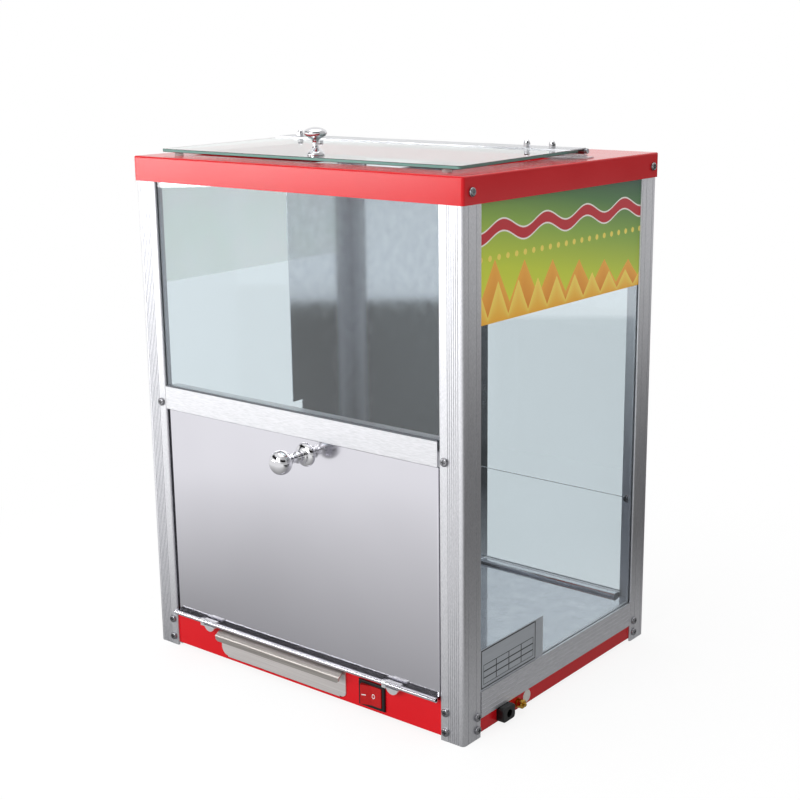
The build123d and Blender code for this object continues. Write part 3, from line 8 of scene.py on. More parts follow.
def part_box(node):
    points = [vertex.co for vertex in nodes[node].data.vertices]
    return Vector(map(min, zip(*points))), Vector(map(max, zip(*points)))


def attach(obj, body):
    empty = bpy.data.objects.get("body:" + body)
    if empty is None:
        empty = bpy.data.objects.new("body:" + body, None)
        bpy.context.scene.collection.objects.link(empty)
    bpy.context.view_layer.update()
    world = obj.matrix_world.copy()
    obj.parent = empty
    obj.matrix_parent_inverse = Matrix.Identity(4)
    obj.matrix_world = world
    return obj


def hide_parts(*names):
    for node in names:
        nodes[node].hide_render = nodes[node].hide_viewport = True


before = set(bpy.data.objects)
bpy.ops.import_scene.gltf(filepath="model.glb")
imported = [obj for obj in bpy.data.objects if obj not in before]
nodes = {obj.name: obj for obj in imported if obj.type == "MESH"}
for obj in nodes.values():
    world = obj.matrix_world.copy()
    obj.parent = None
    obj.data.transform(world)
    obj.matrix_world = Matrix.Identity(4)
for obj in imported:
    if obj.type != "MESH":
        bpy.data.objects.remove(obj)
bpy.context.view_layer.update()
MM = 0.001


# ---- The studio ------------------------------------------------------------------------------
# A white table under soft light from the front left. The right-hand faces get about two
# thirds as much. Polished metal sees white low in front, and dark above that.
def add(tree, kind, inputs=None, **settings):
    """Adds one node: its settings, and a value, a socket or a node for each named input."""
    made = tree.nodes.new("ShaderNode" + kind)
    for name, value in settings.items():
        setattr(made, name, value)
    for name, value in (inputs or {}).items():
        if isinstance(value, bpy.types.Node):
            value = value.outputs[0]
        if isinstance(value, bpy.types.NodeSocket):
            tree.links.new(value, made.inputs[name])
        else:
            made.inputs[name].default_value = value
    return made


def linear(hex_colour):
    """An sRGB hex colour as the linear RGBA that a socket takes."""
    channels = [int(hex_colour[i:i + 2], 16) / 255 for i in (0, 2, 4)]
    return [c / 12.92 if c <= 0.04045 else ((c + 0.055) / 1.055) ** 2.4 for c in channels] + [1.0]


def sight(tree):
    """Two switches: 1 for what polished metal mirrors, and 1 for what the camera sees, straight
    or through glass."""
    path = add(tree, "LightPath")
    mirrored = add(tree, "Math", {0: path.outputs["Glossy Depth"], 1: 0.5}, operation="GREATER_THAN")
    in_mirror = add(
        tree, "Math", {0: mirrored, 1: path.outputs["Is Diffuse Ray"]}, operation="SUBTRACT",
        use_clamp=True,
    )
    shown = add(
        tree, "Math",
        {0: path.outputs["Is Camera Ray"], 1: path.outputs["Is Transmission Ray"]},
        operation="MAXIMUM",
    )
    return in_mirror, shown


def make_room():
    """Shown rays see white. Glossy rays see the studio, and the others a dim even fill."""
    scene = bpy.context.scene
    scene.view_settings.view_transform = "Standard"
    world = bpy.data.worlds.new("studio")
    scene.world = world
    world.use_nodes = True
    tree = world.node_tree
    tree.nodes.clear()
    way = add(tree, "SeparateXYZ", {0: add(tree, "TexCoord").outputs["Generated"]})
    right = add(
        tree, "MapRange",
        {"Value": way.outputs["X"], "From Min": 0.1, "From Max": 0.6},
        interpolation_type="SMOOTHSTEP",
    )
    above_boxes = add(
        tree, "MapRange",
        {"Value": way.outputs["Z"], "From Min": 0.2, "From Max": 0.32},
        interpolation_type="SMOOTHSTEP",
    )
    under_ceiling = add(
        tree, "MapRange",
        {"Value": way.outputs["Z"], "From Min": 0.66, "From Max": 0.5},
        interpolation_type="SMOOTHSTEP",
    )
    in_front = add(tree, "MapRange", {"Value": way.outputs["Y"], "From Min": 0.05, "From Max": -0.15})
    band = add(tree, "Math", {0: above_boxes, 1: under_ceiling}, operation="MULTIPLY")
    dark = add(tree, "Math", {0: band, 1: in_front}, operation="MULTIPLY")
    dimmer = add(tree, "MapRange", {"Value": right, "To Min": 1.0, "To Max": 0.58})
    unlit = add(tree, "MapRange", {"Value": dark, "To Min": 1.0, "To Max": 0.015})
    mirrored = add(tree, "Math", {0: dimmer, 1: unlit}, operation="MULTIPLY")
    filling = add(tree, "MapRange", {"Value": right, "To Min": 0.62, "To Max": 0.42})
    in_mirror, shown = sight(tree)
    strength = add(
        tree, "Mix",
        {
            0: in_mirror,
            2: add(tree, "Mix", {0: shown, 2: filling, 3: 1.0}, data_type="FLOAT"),
            3: mirrored,
        },
        data_type="FLOAT",
    )
    add(
        tree, "OutputWorld",
        {0: add(tree, "Background", {"Color": (1, 1, 1, 1), "Strength": strength})},
    )


LAMPS_AIM_AT = 0.3


def make_lamps():
    """A large key in front, a low softbox that the cap's front mirrors, and a soft top light."""
    for name, place, width, height, watts in (
        ("key", (-0.2, -2.6, 1.3), 1.4, 1.2, 32.0),
        ("low_softbox", (-1.95, -2.15, 0.395), 1.15, 0.36, 13.0),
        ("top", (-0.1, 0.1, 2.4), 1.8, 1.8, 15.0),
    ):
        light = bpy.data.lights.new(name, "AREA")
        light.shape = "RECTANGLE"
        light.size, light.size_y = width, height
        light.energy = watts
        lamp = bpy.data.objects.new(name, light)
        lamp.location = place
        aim = Vector((0, 0, LAMPS_AIM_AT)) - Vector(place)
        lamp.rotation_euler = aim.to_track_quat("-Z", "Y").to_euler()
        bpy.context.scene.collection.objects.link(lamp)


def make_floor():
    """White table. It fades into the white room and keeps a faint shadow. Metal sees painted
    shade on it close to the object, and a painted dark reflection farther behind it, out to 2 m and again
    past about 4.7 m."""
    mesh = bmesh.new()
    bmesh.ops.create_grid(mesh, x_segments=1, y_segments=1, size=8.0)
    data = bpy.data.meshes.new("floor")
    mesh.to_mesh(data)
    mesh.free()
    floor = bpy.data.objects.new("floor", data)
    bpy.context.scene.collection.objects.link(floor)
    material = bpy.data.materials.new("white_table")
    material.use_nodes = True
    tree = material.node_tree
    tree.nodes.clear()
    point = add(tree, "TexCoord").outputs["Object"]
    folded = add(tree, "VectorMath", {0: point}, operation="ABSOLUTE")
    foot = add(tree, "VectorMath", {0: folded, 1: (0.197, 0.157, 0)}, operation="SUBTRACT")
    outside = add(tree, "VectorMath", {0: foot, 1: (0, 0, 0)}, operation="MAXIMUM")
    away = add(tree, "VectorMath", {0: outside}, operation="LENGTH").outputs["Value"]
    reach = add(tree, "VectorMath", {0: point}, operation="LENGTH").outputs["Value"]
    flat = add(tree, "SeparateXYZ", {0: point})
    rearward = add(
        tree, "MapRange",
        {
            "Value": add(tree, "Math", {0: flat.outputs["X"], 1: flat.outputs["Y"]}, operation="ADD"),
            "From Min": -0.15, "From Max": 0.4,
        },
        interpolation_type="SMOOTHSTEP",
    )
    # Painted shade for metal: the table is 0.33 at the object's foot and white by 0.6 m in front.
    painted_shade_front = add(
        tree, "MapRange",
        {"Value": away, "From Min": 0.0, "From Max": 0.6, "To Min": 0.33, "To Max": 1.0},
    )
    # Painted dark reflection for metal behind the object: dark out to 2 m, white beyond, dark again past
    # about 4.7 m.
    dark_disc_edge = add(
        tree, "MapRange",
        {"Value": reach, "From Min": 1.98, "From Max": 2.06, "To Min": 0.08, "To Max": 1.0},
    )
    far_dark_edge = add(
        tree, "MapRange",
        {"Value": reach, "From Min": 4.5, "From Max": 4.9, "To Min": 1.0, "To Max": 0.1},
    )
    painted_dark_far_behind = add(tree, "Math", {0: dark_disc_edge, 1: far_dark_edge}, operation="MULTIPLY")
    # Painted shade for metal close behind the object: 0.36 at its foot, none by 0.4 m.
    painted_shade_near_behind = add(
        tree, "MapRange",
        {"Value": away, "From Min": 0.08, "From Max": 0.4, "To Min": 0.36, "To Max": 0.0},
    )
    behind = add(tree, "Math", {0: painted_dark_far_behind, 1: painted_shade_near_behind}, operation="MAXIMUM")
    mirrored = add(tree, "Mix", {0: rearward, 2: painted_shade_front, 3: behind}, data_type="FLOAT")
    far = add(tree, "MapRange", {"Value": away, "From Min": 0.03, "From Max": 0.5})
    lit = add(tree, "MapRange", {"Value": far, "To Min": 0.86, "To Max": 1.0})
    in_mirror, shown = sight(tree)
    glow_shown = add(tree, "Math", {0: shown, 1: lit}, operation="MULTIPLY")
    glow = add(tree, "Mix", {0: in_mirror, 2: glow_shown, 3: mirrored}, data_type="FLOAT")
    shadowed = add(tree, "MixRGB", {0: far, 1: (0.16, 0.16, 0.16, 1), 2: (0, 0, 0, 1)})
    paper = add(tree, "MixRGB", {0: shown, 1: (0.7, 0.7, 0.7, 1), 2: shadowed})
    matte = add(tree, "MixRGB", {0: in_mirror, 1: paper, 2: (0, 0, 0, 1)})
    both = add(
        tree, "AddShader",
        {0: add(tree, "BsdfDiffuse", {"Color": matte}), 1: add(tree, "Emission", {"Strength": glow})},
    )
    add(tree, "OutputMaterial", {"Surface": both})
    data.materials.append(material)


def make_camera():
    """Camera solved from the photograph's own corners."""
    place = Vector((0.8801, -1.0716, 0.60307))
    yaw, pitch, roll = (math.radians(angle) for angle in (37.72, 13.895, -0.312))
    focal_px, centre_x, centre_y, frame_px = 1420.76, 440.13, 395.01, 800
    forward = Vector(
        (-math.sin(yaw) * math.cos(pitch), math.cos(yaw) * math.cos(pitch), -math.sin(pitch))
    )
    level = Vector((math.cos(yaw), math.sin(yaw), 0))
    upright = level.cross(forward)
    right = math.cos(roll) * level + math.sin(roll) * upright
    up = -math.sin(roll) * level + math.cos(roll) * upright
    camera_data = bpy.data.cameras.new("camera")
    camera_data.sensor_width = 36
    camera_data.lens = focal_px / frame_px * camera_data.sensor_width
    camera_data.shift_x = (frame_px / 2 - centre_x) / frame_px
    camera_data.shift_y = (centre_y - frame_px / 2) / frame_px
    camera = bpy.data.objects.new("camera", camera_data)
    turn = Matrix((right, up, -forward)).transposed().to_4x4()
    camera.matrix_world = Matrix.Translation(place) @ turn
    bpy.context.scene.collection.objects.link(camera)
    bpy.context.scene.camera = camera


make_room()
make_lamps()
make_floor()
make_camera()


# ---- Corner posts and rails ------------------------------------------------------------------
# Extruded aluminium, satin anodised. The die leaves fine lines along each length, and the
# matte skin spreads the light, so the faces look even with a fine drawn grain.
def new_material(name):
    material = bpy.data.materials.new(name)
    material.use_nodes = True
    material.node_tree.nodes.clear()
    return material, material.node_tree


def surface(tree, **inputs):
    """The material's one shader. Uniform numbers are set on its own sockets."""
    named = {name.replace("_", " "): value for name, value in inputs.items()}
    add(tree, "OutputMaterial", {"Surface": add(tree, "BsdfPrincipled", named)})


def dress(material, *names):
    """Gives CAD pieces their finish, through their own material slots."""
    for name in names:
        for slot in nodes[name].material_slots:
            slot.material = material


def drawn_metal(name, per_metre, dark, light, roughness, bump_depth):
    """Metal with a drawn or brushed grain: lines per metre along each axis of the piece."""
    material, tree = new_material(name)
    place = add(tree, "TexCoord").outputs["Object"]
    stretched = add(tree, "Mapping", {"Vector": place, "Scale": per_metre})
    grain = add(tree, "TexNoise", {"Vector": stretched, "Scale": 1.0, "Detail": 3.0})
    shade = add(tree, "MapRange", {"Value": grain, "From Min": 0.3, "From Max": 0.7})
    surface(
        tree,
        Base_Color=add(tree, "MixRGB", {0: shade, 1: linear(dark), 2: linear(light)}),
        Metallic=1.0,
        Roughness=add(
            tree, "MapRange",
            {"Value": grain, "To Min": roughness - 0.05, "To Max": roughness + 0.05},
        ),
        Normal=add(tree, "Bump", {"Height": grain, "Distance": bump_depth}),
    )
    return material


# The grain is about 0.5 mm wide, several times the real one, so that it shows.
upright_aluminium = drawn_metal(
    "anodised_aluminium_upright", (1900, 1900, 420), "cfd0d4", "e6e6ea", 0.42, 0.00002
)
level_aluminium = drawn_metal(
    "anodised_aluminium_level", (140, 1900, 1900), "d0d1d4", "e4e4e8", 0.42, 0.000012
)
depth_aluminium = drawn_metal(
    "anodised_aluminium_side", (1900, 140, 1900), "cfd0d4", "e6e6ea", 0.42, 0.000012
)
dress(
    upright_aluminium, "post_front_left", "post_front_right", "post_rear_left", "post_rear_right"
)
dress(level_aluminium, "mid_rail", "rear_rail")
dress(depth_aluminium, "side_rail_left", "side_rail_right")


# ---- Screws, nuts and other bright fittings --------------------------------------------------
# Polished fittings that mirror the studio in hard light and dark: the nuts in chromium plate
# and the screws in a darker bare steel. The pieces that are mostly hidden are dull zinc.
def plated(name, colour, roughness):
    material, tree = new_material(name)
    place = add(tree, "TexCoord").outputs["Object"]
    smear = add(tree, "TexNoise", {"Vector": place, "Scale": 260.0, "Detail": 3.0})
    surface(
        tree,
        Base_Color=linear(colour),
        Metallic=1.0,
        Roughness=add(
            tree, "MapRange",
            {"Value": smear, "To Min": roughness * 0.6, "To Max": roughness * 1.5},
        ),
    )
    return material


chrome = plated("chromium_plate", "dddde0", 0.06)
screw_steel = plated("polished_screw_steel", "98989c", 0.08)
zinc = plated("bright_zinc_plate", "b4b6bb", 0.22)
dress(screw_steel, "post_screws", "cap_screws")
dress(chrome, "lid_hinge_nuts")
dress(
    zinc, "lid_hinge_bolts", "lid_hinge_rivets", "lid_hinge_pin", "lid_knob_screw",
    "door_knob_screw", "door_hinge_pins", "door_strike",
)


# ---- Fixed panes and lid glass ---------------------------------------------------------------
# 3 mm float glass with a cool tint. Lamps shine straight through it. The lid's ground edges
# show the depth of the glass, so they are matte and sea green.
def float_glass(name, tint, lamp_tint, edge=None):
    material, tree = new_material(name)
    path = add(tree, "LightPath")
    lamp = add(
        tree, "Math",
        {0: path.outputs["Is Shadow Ray"], 1: path.outputs["Is Diffuse Ray"]},
        operation="MAXIMUM",
    )
    place = add(tree, "TexCoord")
    ripple = add(
        tree, "TexNoise", {"Vector": place.outputs["Object"], "Scale": 9.0, "Detail": 1.0}
    )
    clear = add(
        tree, "BsdfPrincipled",
        {
            "Base Color": linear(tint),
            "Roughness": 0.0,
            "IOR": 1.5,
            "Transmission Weight": 1.0,
            "Normal": add(tree, "Bump", {"Height": ripple, "Distance": 0.00002}),
        },
    )
    through = add(tree, "BsdfTransparent", {"Color": linear(lamp_tint)})
    look = add(tree, "MixShader", {0: lamp, 1: clear, 2: through})
    if edge:
        facing = add(tree, "VectorMath", {0: place.outputs["Normal"]}, operation="ABSOLUTE")
        upward = add(tree, "SeparateXYZ", {0: facing}).outputs["Z"]
        at_edge = add(tree, "Math", {0: upward, 1: 0.5}, operation="LESS_THAN")
        ground = add(
            tree, "BsdfPrincipled",
            {
                "Base Color": add(
                    tree, "MixRGB", {0: ripple, 1: linear(edge[0]), 2: linear(edge[1])}
                ),
                "Roughness": 0.4,
            },
        )
        look = add(tree, "MixShader", {0: at_edge, 1: look, 2: ground})
    add(tree, "OutputMaterial", {"Surface": look})
    return material


pane_glass = float_glass("float_glass", "e9f0f3", "f2f6f7")
lid_glass = float_glass("lid_float_glass", "e6f0ee", "e2eeeb", edge=("4b8a80", "6fa79c"))
dress(pane_glass, "front_glass", "left_glass", "right_glass", "rear_glass_upper", "rear_glass_lower")
dress(lid_glass, "lid_glass")

# A bead of clear rubber seals the foot of the front pane. It looks grey against the rail.
bead_rubber, tree = new_material("clear_glazing_rubber")
surface(tree, Base_Color=linear("5d6167"), Roughness=0.35)
dress(bead_rubber, "front_glass_bead")


# ---- Printed films ---------------------------------------------------------------------------
# A satin vinyl film outside each side pane: green from dark to lime, a zigzag border in corn
# yellow and orange, a waved red stripe and dots. Its back, seen from inside, is a pale wash.
# The film glows in its own colours, strongly on the back and faintly on the print: a painted
# # glow that stands in for daylight coming through the thin film.
WAVE_PERIOD = math.pi / 10      # of a wave texture at scale 1, in metres
STRIPE_WAVE = 66 * MM
DOT_SPACING, DOT_R = 13 * MM, 2.6 * MM
STRIPE_SHADES = ((0.058, "f3ece4"), (0.044, "c3202c"))
PEAK_ROWS = (
    (44 * MM, 0.16, 0.55, ("e58a25", "f7b445")),
    (30 * MM, 0.05, 0.36, ("f6b233", "ffe268")),
)


def printed_vinyl():
    """Heights on the film are shares of its own height."""
    low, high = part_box("sticker_right")
    material, tree = new_material("printed_vinyl_film")
    place = add(tree, "TexCoord")
    point = add(tree, "SeparateXYZ", {0: place.outputs["Object"]})
    normal = add(tree, "SeparateXYZ", {0: place.outputs["Normal"]})
    along = add(
        tree, "MapRange", {"Value": point.outputs["Y"], "From Min": low.y, "From Max": high.y}
    )
    rise = add(
        tree, "MapRange", {"Value": point.outputs["Z"], "From Min": low.z, "From Max": high.z}
    )
    along_size = add(tree, "Math", {0: along, 1: 0.45}, operation="MULTIPLY")
    slope = add(tree, "Math", {0: rise, 1: along_size}, operation="ADD")
    ground = add(
        tree, "ValToRGB", {"Fac": add(tree, "MapRange", {"Value": slope, "From Max": 1.45})}
    )
    ramp = ground.color_ramp
    ramp.elements[0].position, ramp.elements[0].color = 0.1, linear("e3e440")
    ramp.elements[1].position, ramp.elements[1].color = 1.0, linear("355a4c")
    for position, colour in ((0.35, "cbd83c"), (0.62, "8db047"), (0.82, "548049")):
        ramp.elements.new(position).color = linear(colour)
    look = ground.outputs["Color"]

    # Two rows of peaks, the far one wider and higher, both lower to the rear.
    for spacing, foot, top, shades in PEAK_ROWS:
        peaks = add(
            tree, "TexWave",
            {"Vector": place.outputs["Object"], "Scale": WAVE_PERIOD / spacing},
            bands_direction="Y", wave_profile="TRI",
        ).outputs["Fac"]
        height = add(tree, "MapRange", {"Value": peaks, "To Min": foot, "To Max": top})
        fall = add(tree, "MapRange", {"Value": along, "To Min": 1.0, "To Max": 0.45})
        edge = add(tree, "Math", {0: height, 1: fall}, operation="MULTIPLY")
        inside = add(tree, "Math", {0: rise, 1: edge}, operation="LESS_THAN")
        share = add(tree, "Math", {0: rise, 1: edge}, operation="DIVIDE")
        baked = add(tree, "MixRGB", {0: share, 1: linear(shades[0]), 2: linear(shades[1])})
        look = add(tree, "MixRGB", {0: inside, 1: look, 2: baked})

    # A red stripe 9 mm wide with a white border, in long waves.
    waves = add(
        tree, "TexWave",
        {"Vector": place.outputs["Object"], "Scale": WAVE_PERIOD / STRIPE_WAVE},
        bands_direction="Y", wave_profile="SIN",
    ).outputs["Fac"]
    middle = add(tree, "MapRange", {"Value": waves, "To Min": 0.70, "To Max": 0.80})
    off = add(
        tree, "Math",
        {0: add(tree, "Math", {0: rise, 1: middle}, operation="SUBTRACT")},
        operation="ABSOLUTE",
    )
    for half_width, colour in STRIPE_SHADES:
        within = add(tree, "Math", {0: off, 1: half_width}, operation="LESS_THAN")
        look = add(tree, "MixRGB", {0: within, 1: look, 2: linear(colour)})

    # One row of dots, between the stripe and the peaks.
    sheet = add(tree, "CombineXYZ", {0: point.outputs["Y"], 1: point.outputs["Z"]})
    spots = add(
        tree, "TexVoronoi", {"Vector": sheet, "Scale": 1 / DOT_SPACING, "Randomness": 0.0},
        voronoi_dimensions="2D",
    )
    round_spot = add(
        tree, "Math", {0: spots.outputs["Distance"], 1: DOT_R / DOT_SPACING},
        operation="LESS_THAN",
    )
    from_low = add(tree, "Math", {0: rise, 1: 0.5}, operation="GREATER_THAN")
    to_high = add(tree, "Math", {0: rise, 1: 0.62}, operation="LESS_THAN")
    band = add(tree, "Math", {0: from_low, 1: to_high}, operation="MULTIPLY")
    dots = add(tree, "Math", {0: round_spot, 1: band}, operation="MULTIPLY")
    look = add(tree, "MixRGB", {0: dots, 1: look, 2: linear("f2dd62")})

    outward = add(
        tree, "Math", {0: point.outputs["X"], 1: normal.outputs["X"]}, operation="MULTIPLY"
    )
    printed = add(tree, "Math", {0: outward, 1: 0.0}, operation="GREATER_THAN")
    cloud = add(
        tree, "TexNoise", {"Vector": place.outputs["Object"], "Scale": 22.0, "Detail": 2.0}
    )
    back = add(tree, "MixRGB", {0: cloud, 1: linear("e9f2ea"), 2: linear("f5f6f8")})
    colour = add(tree, "MixRGB", {0: printed, 1: back, 2: look})
    surface(
        tree,
        Base_Color=colour,
        Roughness=0.36,
        Emission_Color=colour,
        # Painted glow: the back emits its pale colour at 0.6 and the print at 0.1.
        Emission_Strength=add(tree, "MapRange", {"Value": printed, "To Min": 0.6, "To Max": 0.1}),
        Normal=add(tree, "Bump", {"Height": cloud, "Distance": 0.0001}),
    )
    return material


dress(printed_vinyl(), "sticker_left", "sticker_right")


# ---- Red sheet-steel cap and base panels -----------------------------------------------------
# Folded 1 mm steel in baked red enamel: a deep red gloss with a slight orange peel of about
# 2 mm, which softens the edges of what it mirrors.
red_enamel, tree = new_material("baked_red_enamel")
place = add(tree, "TexCoord").outputs["Object"]
peel = add(tree, "TexNoise", {"Vector": place, "Scale": 420.0, "Detail": 1.0})
cloud = add(tree, "TexNoise", {"Vector": place, "Scale": 14.0, "Detail": 2.0})
surface(
    tree,
    Base_Color=add(tree, "MixRGB", {0: cloud, 1: linear("d0101b"), 2: linear("de1722")}),
    Roughness=add(tree, "MapRange", {"Value": cloud, "To Min": 0.14, "To Max": 0.22}),
    Specular_IOR_Level=0.3,
    Normal=add(tree, "Bump", {"Height": peel, "Distance": 0.00001}),
)
dress(red_enamel, "top_cap", "base_front_panel", "base_rear_panel", "base_left_panel", "base_right_panel")


# ---- Floor pan, divider and bottom plate -----------------------------------------------------
# Bright-rolled stainless steel, smooth enough to mirror the room, and a plain galvanised
# bottom plate, runners and clamps below.
bright_steel = drawn_metal("bright_stainless_steel", (90, 90, 90), "cfd0d6", "dadbe0", 0.07, 0.000002)
galvanised = drawn_metal("galvanised_steel", (90, 90, 90), "8e9396", "b4b9bc", 0.42, 0.00002)
dress(bright_steel, "floor_pan", "divider")
dress(galvanised, "bottom_plate", "tray_runners", "heater_clamps")


# ---- Loading door ----------------------------------------------------------------------------
# Polished stainless sheet, folded at its edges and rolled into a lip at the foot, with a
# slight haze that softens what it mirrors. It hangs on two small stamped hinges.
mirror_steel, tree = new_material("mirror_stainless_steel")
place = add(tree, "TexCoord").outputs["Object"]
haze = add(tree, "TexNoise", {"Vector": place, "Scale": 7.0, "Detail": 2.0})
surface(
    tree,
    Base_Color=add(tree, "MixRGB", {0: haze, 1: linear("dad9e0"), 2: linear("e6e5ec")}),
    Metallic=1.0,
    Roughness=add(tree, "MapRange", {"Value": haze, "To Min": 0.11, "To Max": 0.16}),
)
stamped_steel = plated("bright_stamped_steel", "f0f0f2", 0.38)
dress(mirror_steel, "door_panel")
dress(stamped_steel, "door_hinge_brackets", "door_hinge_clips")


# ---- Black and other moulded plastics --------------------------------------------------------
# Moulded nylon and polycarbonate with a fine spark texture from the mould.
def moulded(name, colour, roughness):
    material, tree = new_material(name)
    place = add(tree, "TexCoord").outputs["Object"]
    spark = add(tree, "TexNoise", {"Vector": place, "Scale": 2200.0, "Detail": 1.0})
    surface(
        tree,
        Base_Color=linear(colour),
        Roughness=add(
            tree, "MapRange",
            {"Value": spark, "To Min": roughness - 0.05, "To Max": roughness + 0.08},
        ),
        Normal=add(tree, "Bump", {"Height": spark, "Distance": 0.00001}),
    )
    return material


dress(moulded("black_nylon", "0a0a0c", 0.4), "switch_body", "cord_gland", "door_magnet")
dress(moulded("brown_phenolic", "2a211d", 0.5), "thermostat")
dress(moulded("white_nylon", "e4e4de", 0.45), "terminal_block", "earth_disc")
dress(moulded("wire_insulation", "4a4d55", 0.4), "wiring")


# ---- Switch rocker ---------------------------------------------------------------------------
# A clear red rocker with two flat facets. Its off mark, a ring, and its on mark, a dash, are
# printed white, one on each facet.
dress(moulded("red_polycarbonate", "b80c10", 0.16), "switch_rocker")
ROCKER_PIVOT = Vector((90.6, -154.587, 19.2)) * MM
ROCKER_FACE = 3.0 * MM
ROCKER_TILT = math.radians(9.0)
MARK_PROUD = 0.12 * MM
DASH_L, DASH_W, DASH_ACROSS = 4.2 * MM, 1.0 * MM, -7.6 * MM
RING_R, RING_W, RING_ACROSS = 2.4 * MM, 0.75 * MM, 2.4 * MM
RING_SQUEEZE = 0.75             # width over height
white_ink, tree = new_material("white_pad_print")
place = add(tree, "TexCoord").outputs["Object"]
speck = add(tree, "TexNoise", {"Vector": place, "Scale": 1500.0, "Detail": 1.0})
surface(
    tree,
    Base_Color=add(tree, "MixRGB", {0: speck, 1: linear("dddddd"), 2: linear("f6f6f4")}),
    Roughness=0.5,
)


def rocker_mark(name, mesh, across):
    """Lays a flat mark, drawn facing +Z, on a facet of the rocker at a distance from its valley."""
    facet = math.copysign(ROCKER_TILT, across)
    out = ROCKER_FACE + abs(across) * math.tan(ROCKER_TILT) + MARK_PROUD
    upright = Matrix.Rotation(math.radians(90), 4, "X")
    on_facet = Matrix.Translation((across, -out, 0)) @ Matrix.Rotation(-facet, 4, "Z") @ upright
    at_rest = Matrix.Translation(ROCKER_PIVOT) @ Matrix.Rotation(ROCKER_TILT, 4, "Z")
    bmesh.ops.transform(mesh, matrix=at_rest @ on_facet, verts=mesh.verts)
    data = bpy.data.meshes.new(name)
    mesh.to_mesh(data)
    mesh.free()
    piece = bpy.data.objects.new(name, data)
    bpy.context.scene.collection.objects.link(piece)
    data.materials.append(white_ink)
    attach(piece, "rocker")


dash = bmesh.new()
bmesh.ops.create_grid(dash, x_segments=1, y_segments=1, size=0.5)
bmesh.ops.scale(dash, vec=(DASH_L, DASH_W, 1), verts=dash.verts)
rocker_mark("switch_mark_on", dash, DASH_ACROSS)
ring = bmesh.new()
bmesh.ops.create_circle(ring, cap_ends=True, segments=32, radius=RING_R)
bmesh.ops.inset_region(ring, faces=ring.faces, thickness=RING_W, use_boundary=True)
middle = [face for face in ring.faces if face.calc_center_median().length < RING_W / 4]
bmesh.ops.delete(ring, geom=middle, context="FACES_ONLY")
bmesh.ops.scale(ring, vec=(RING_SQUEEZE, 1, 1), verts=ring.verts)
rocker_mark("switch_mark_off", ring, RING_ACROSS)


# ---- Lid and its hinge -----------------------------------------------------------------------
# The glass lid hangs on a brushed steel piano hinge with domed nuts, and rests on two clear
# rubber feet.
brushed_steel = drawn_metal(
    "brushed_stainless_steel", (10, 1600, 1600), "a4a6ab", "e2e3e6", 0.28, 0.00002
)
dress(brushed_steel, "lid_hinge_moving_leaf", "lid_hinge_fixed_leaf")
clear_rubber, tree = new_material("clear_silicone_rubber")
surface(tree, Base_Color=linear("e9eceb"), Roughness=0.25, Transmission_Weight=0.7, IOR=1.41)
dress(clear_rubber, "lid_bumpers")


# ---- Turned knobs ----------------------------------------------------------------------------
# Both knobs are turned from brass, chromium plated: a round head on a beaded stem and a
# wide rosette. They replace the plainer solids of the same outline.
SPIN_STEPS = 28


def turned_knob(name, node, body, outline, place):
    """Spins (radius, height) points in mm round Z, and smooths them between the beads."""
    mesh = bmesh.new()
    rim = [mesh.verts.new((radius * MM, 0, height * MM)) for radius, height in outline]
    chain = [mesh.edges.new(pair) for pair in zip(rim, rim[1:])]
    bmesh.ops.spin(
        mesh, geom=rim + chain, cent=(0, 0, 0), axis=(0, 0, 1), dvec=(0, 0, 0),
        angle=math.tau, steps=SPIN_STEPS, use_merge=True,
    )
    bmesh.ops.remove_doubles(mesh, verts=mesh.verts, dist=0.01 * MM)
    bmesh.ops.recalc_face_normals(mesh, faces=mesh.faces)
    for face in mesh.faces:
        face.smooth = True
    bmesh.ops.transform(mesh, matrix=place, verts=mesh.verts)
    data = bpy.data.meshes.new(name)
    mesh.to_mesh(data)
    mesh.free()
    knob = bpy.data.objects.new(name, data)
    bpy.context.scene.collection.objects.link(knob)
    smoother = knob.modifiers.new("smooth", "SUBSURF")
    smoother.levels = smoother.render_levels = 2
    data.materials.append(chrome)
    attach(knob, body)
    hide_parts(node)


DOOR_KNOB_L, DOOR_KNOB_R, DOOR_KNOB_BASE_R = 42.0, 11.5, 11.2
turned_knob(
    "door_knob_turned", "door_knob", "door",
    [(DOOR_KNOB_BASE_R * share, DOOR_KNOB_L * height) for share, height in (
        (0, 0), (0.98, 0), (1, 0.006), (1, 0.03), (0.97, 0.04), (0.86, 0.076), (0.62, 0.1),
        (0.62, 0.135), (0.46, 0.16), (0.4, 0.206), (0.52, 0.253), (0.52, 0.288), (0.38, 0.324),
        (0.36, 0.45), (0.48, 0.53),
    )] + [(DOOR_KNOB_R * share, DOOR_KNOB_L * height) for share, height in (
        (0.72, 0.6), (0.95, 0.69), (1, 0.77), (0.95, 0.86), (0.76, 0.94), (0.42, 0.985), (0, 1),
    )],
    Matrix.Translation(Vector((14.5, -155.2, 237.0)) * MM) @ Matrix.Rotation(math.radians(90), 4, "X"),
)

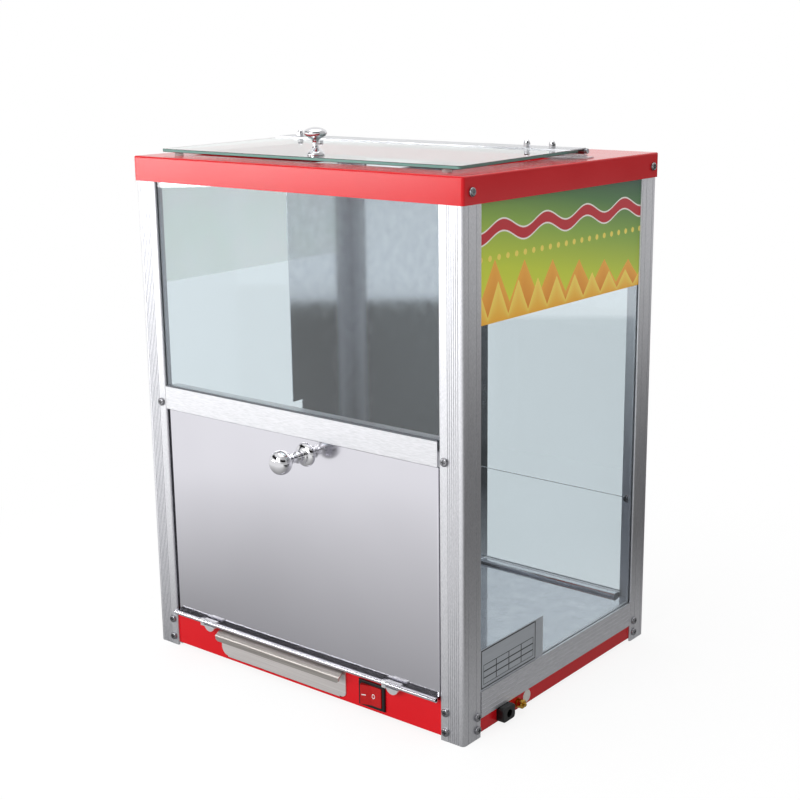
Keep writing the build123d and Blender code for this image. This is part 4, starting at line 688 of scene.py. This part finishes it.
LID_KNOB_H, LID_KNOB_R, LID_KNOB_BASE_R, LID_KNOB_NECK_R = 24.98, 10.75, 8.2, 2.6
LID_AXIS = Vector((0, 49.0, 507.0)) * MM
LID_GLASS_TOP = 509.0
LID_TILT = math.radians(0.87)
turned_knob(
    "lid_knob_turned", "lid_knob", "lid",
    [(LID_KNOB_BASE_R * share, LID_KNOB_H * height) for share, height in (
        (0, 0), (0.98, 0), (1, 0.008), (1, 0.05), (0.97, 0.07), (0.86, 0.13),
    )] + [(LID_KNOB_NECK_R * share, LID_KNOB_H * height) for share, height in (
        (1.9, 0.2), (1.15, 0.27), (1, 0.38), (1, 0.48), (1.4, 0.55), (2.4, 0.61),
    )] + [(LID_KNOB_R * share, LID_KNOB_H * height) for share, height in (
        (0.9, 0.68), (1, 0.76), (1, 0.82), (0.93, 0.88), (0.7, 0.94), (0.35, 0.985), (0, 1),
    )],
    Matrix.Translation(LID_AXIS) @ Matrix.Rotation(LID_TILT, 4, "X")
    @ Matrix.Translation(Vector((3.0, -118.0, LID_GLASS_TOP)) * MM - LID_AXIS),
)


# ---- Crumb tray ------------------------------------------------------------------------------
# Satin stainless sheet, folded and brushed from side to side. The pull is spot-welded to the
# tray's front: the same satin steel with a finer finish, in darker colours that are painted shade.
satin_steel = drawn_metal(
    "satin_stainless_steel", (16, 1300, 1300), "e6e0de", "f4f0ee", 0.5, 0.00001
)
# The pull's darker colours are painted shade: the tray's own satin steel, darkened.
shaded_pull_steel = drawn_metal(
    "satin_stainless_steel_pull_painted_shade", (16, 1300, 1300), "a8a29e", "c4bfba", 0.44, 0.00001
)
dress(satin_steel, "crumb_tray")
dress(shaded_pull_steel, "tray_pull")


# ---- Rating plate ----------------------------------------------------------------------------
# A silver polyester label, left without wording: a thin printed frame round a grid of empty
# boxes.
LABEL_FRAME = (("Y", -128.0 * MM, -43.0 * MM), ("Z", 44.5 * MM, 80.5 * MM))
LABEL_LINE = 0.6 * MM
LABEL_BOX_W, LABEL_BOX_H = 19.7 * MM, 6.3 * MM
TABLE_INSET, TABLE_TOP = 3.0 * MM, 66.5 * MM


def ruled_label():
    material, tree = new_material("silver_polyester_label")
    place = add(tree, "TexCoord").outputs["Object"]
    point = add(tree, "SeparateXYZ", {0: place})
    inset = []
    for axis, start, end in LABEL_FRAME:
        offset = add(
            tree, "Math", {0: point.outputs[axis], 1: (start + end) / 2}, operation="SUBTRACT"
        )
        size = add(tree, "Math", {0: offset}, operation="ABSOLUTE")
        inset.append(
            add(tree, "Math", {0: (end - start) / 2, 1: size}, operation="SUBTRACT")
        )
    depth = add(tree, "Math", {0: inset[0], 1: inset[1]}, operation="MINIMUM")
    frame_line = add(tree, "Math", {0: depth, 1: 0.0, 2: LABEL_LINE}, operation="COMPARE")
    in_table = add(tree, "Math", {0: depth, 1: TABLE_INSET}, operation="GREATER_THAN")
    under_head = add(tree, "Math", {0: point.outputs["Z"], 1: TABLE_TOP}, operation="LESS_THAN")
    table = add(tree, "Math", {0: in_table, 1: under_head}, operation="MULTIPLY")
    sheet = add(tree, "CombineXYZ", {0: point.outputs["Y"], 1: point.outputs["Z"]})
    table_corner = [-(start + TABLE_INSET) for axis, start, end in LABEL_FRAME] + [0]
    boxes = add(
        tree, "TexBrick",
        {
            "Vector": add(tree, "Mapping", {"Vector": sheet, "Location": table_corner}),
            "Color1": (0, 0, 0, 1), "Color2": (0, 0, 0, 1), "Mortar": (1, 1, 1, 1),
            "Scale": 1.0, "Mortar Size": LABEL_LINE, "Brick Width": LABEL_BOX_W,
            "Row Height": LABEL_BOX_H,
        },
        offset=0.0,
    )
    lines = add(tree, "Math", {0: boxes, 1: table}, operation="MULTIPLY")
    ink = add(tree, "Math", {0: frame_line, 1: lines}, operation="MAXIMUM")
    grain = add(
        tree, "TexNoise",
        {"Vector": add(tree, "Mapping", {"Vector": place, "Scale": (1, 30, 900)}), "Scale": 1.0},
    )
    foil = add(tree, "MixRGB", {0: grain, 1: linear("a6abb1"), 2: linear("bec3c9")})
    surface(
        tree,
        Base_Color=add(tree, "MixRGB", {0: ink, 1: foil, 2: linear("26282b")}),
        Metallic=0.25,
        Roughness=0.38,
    )
    return material


dress(ruled_label(), "rating_plate")


# ---- Brass and heater ------------------------------------------------------------------------
# Turned brass terminals, and a heating tube dulled to a warm grey by its own heat.
dress(plated("turned_brass", "d0a548", 0.16), "earth_terminal", "switch_terminals")
dress(plated("heat_dulled_steel", "7d7771", 0.45), "heater")
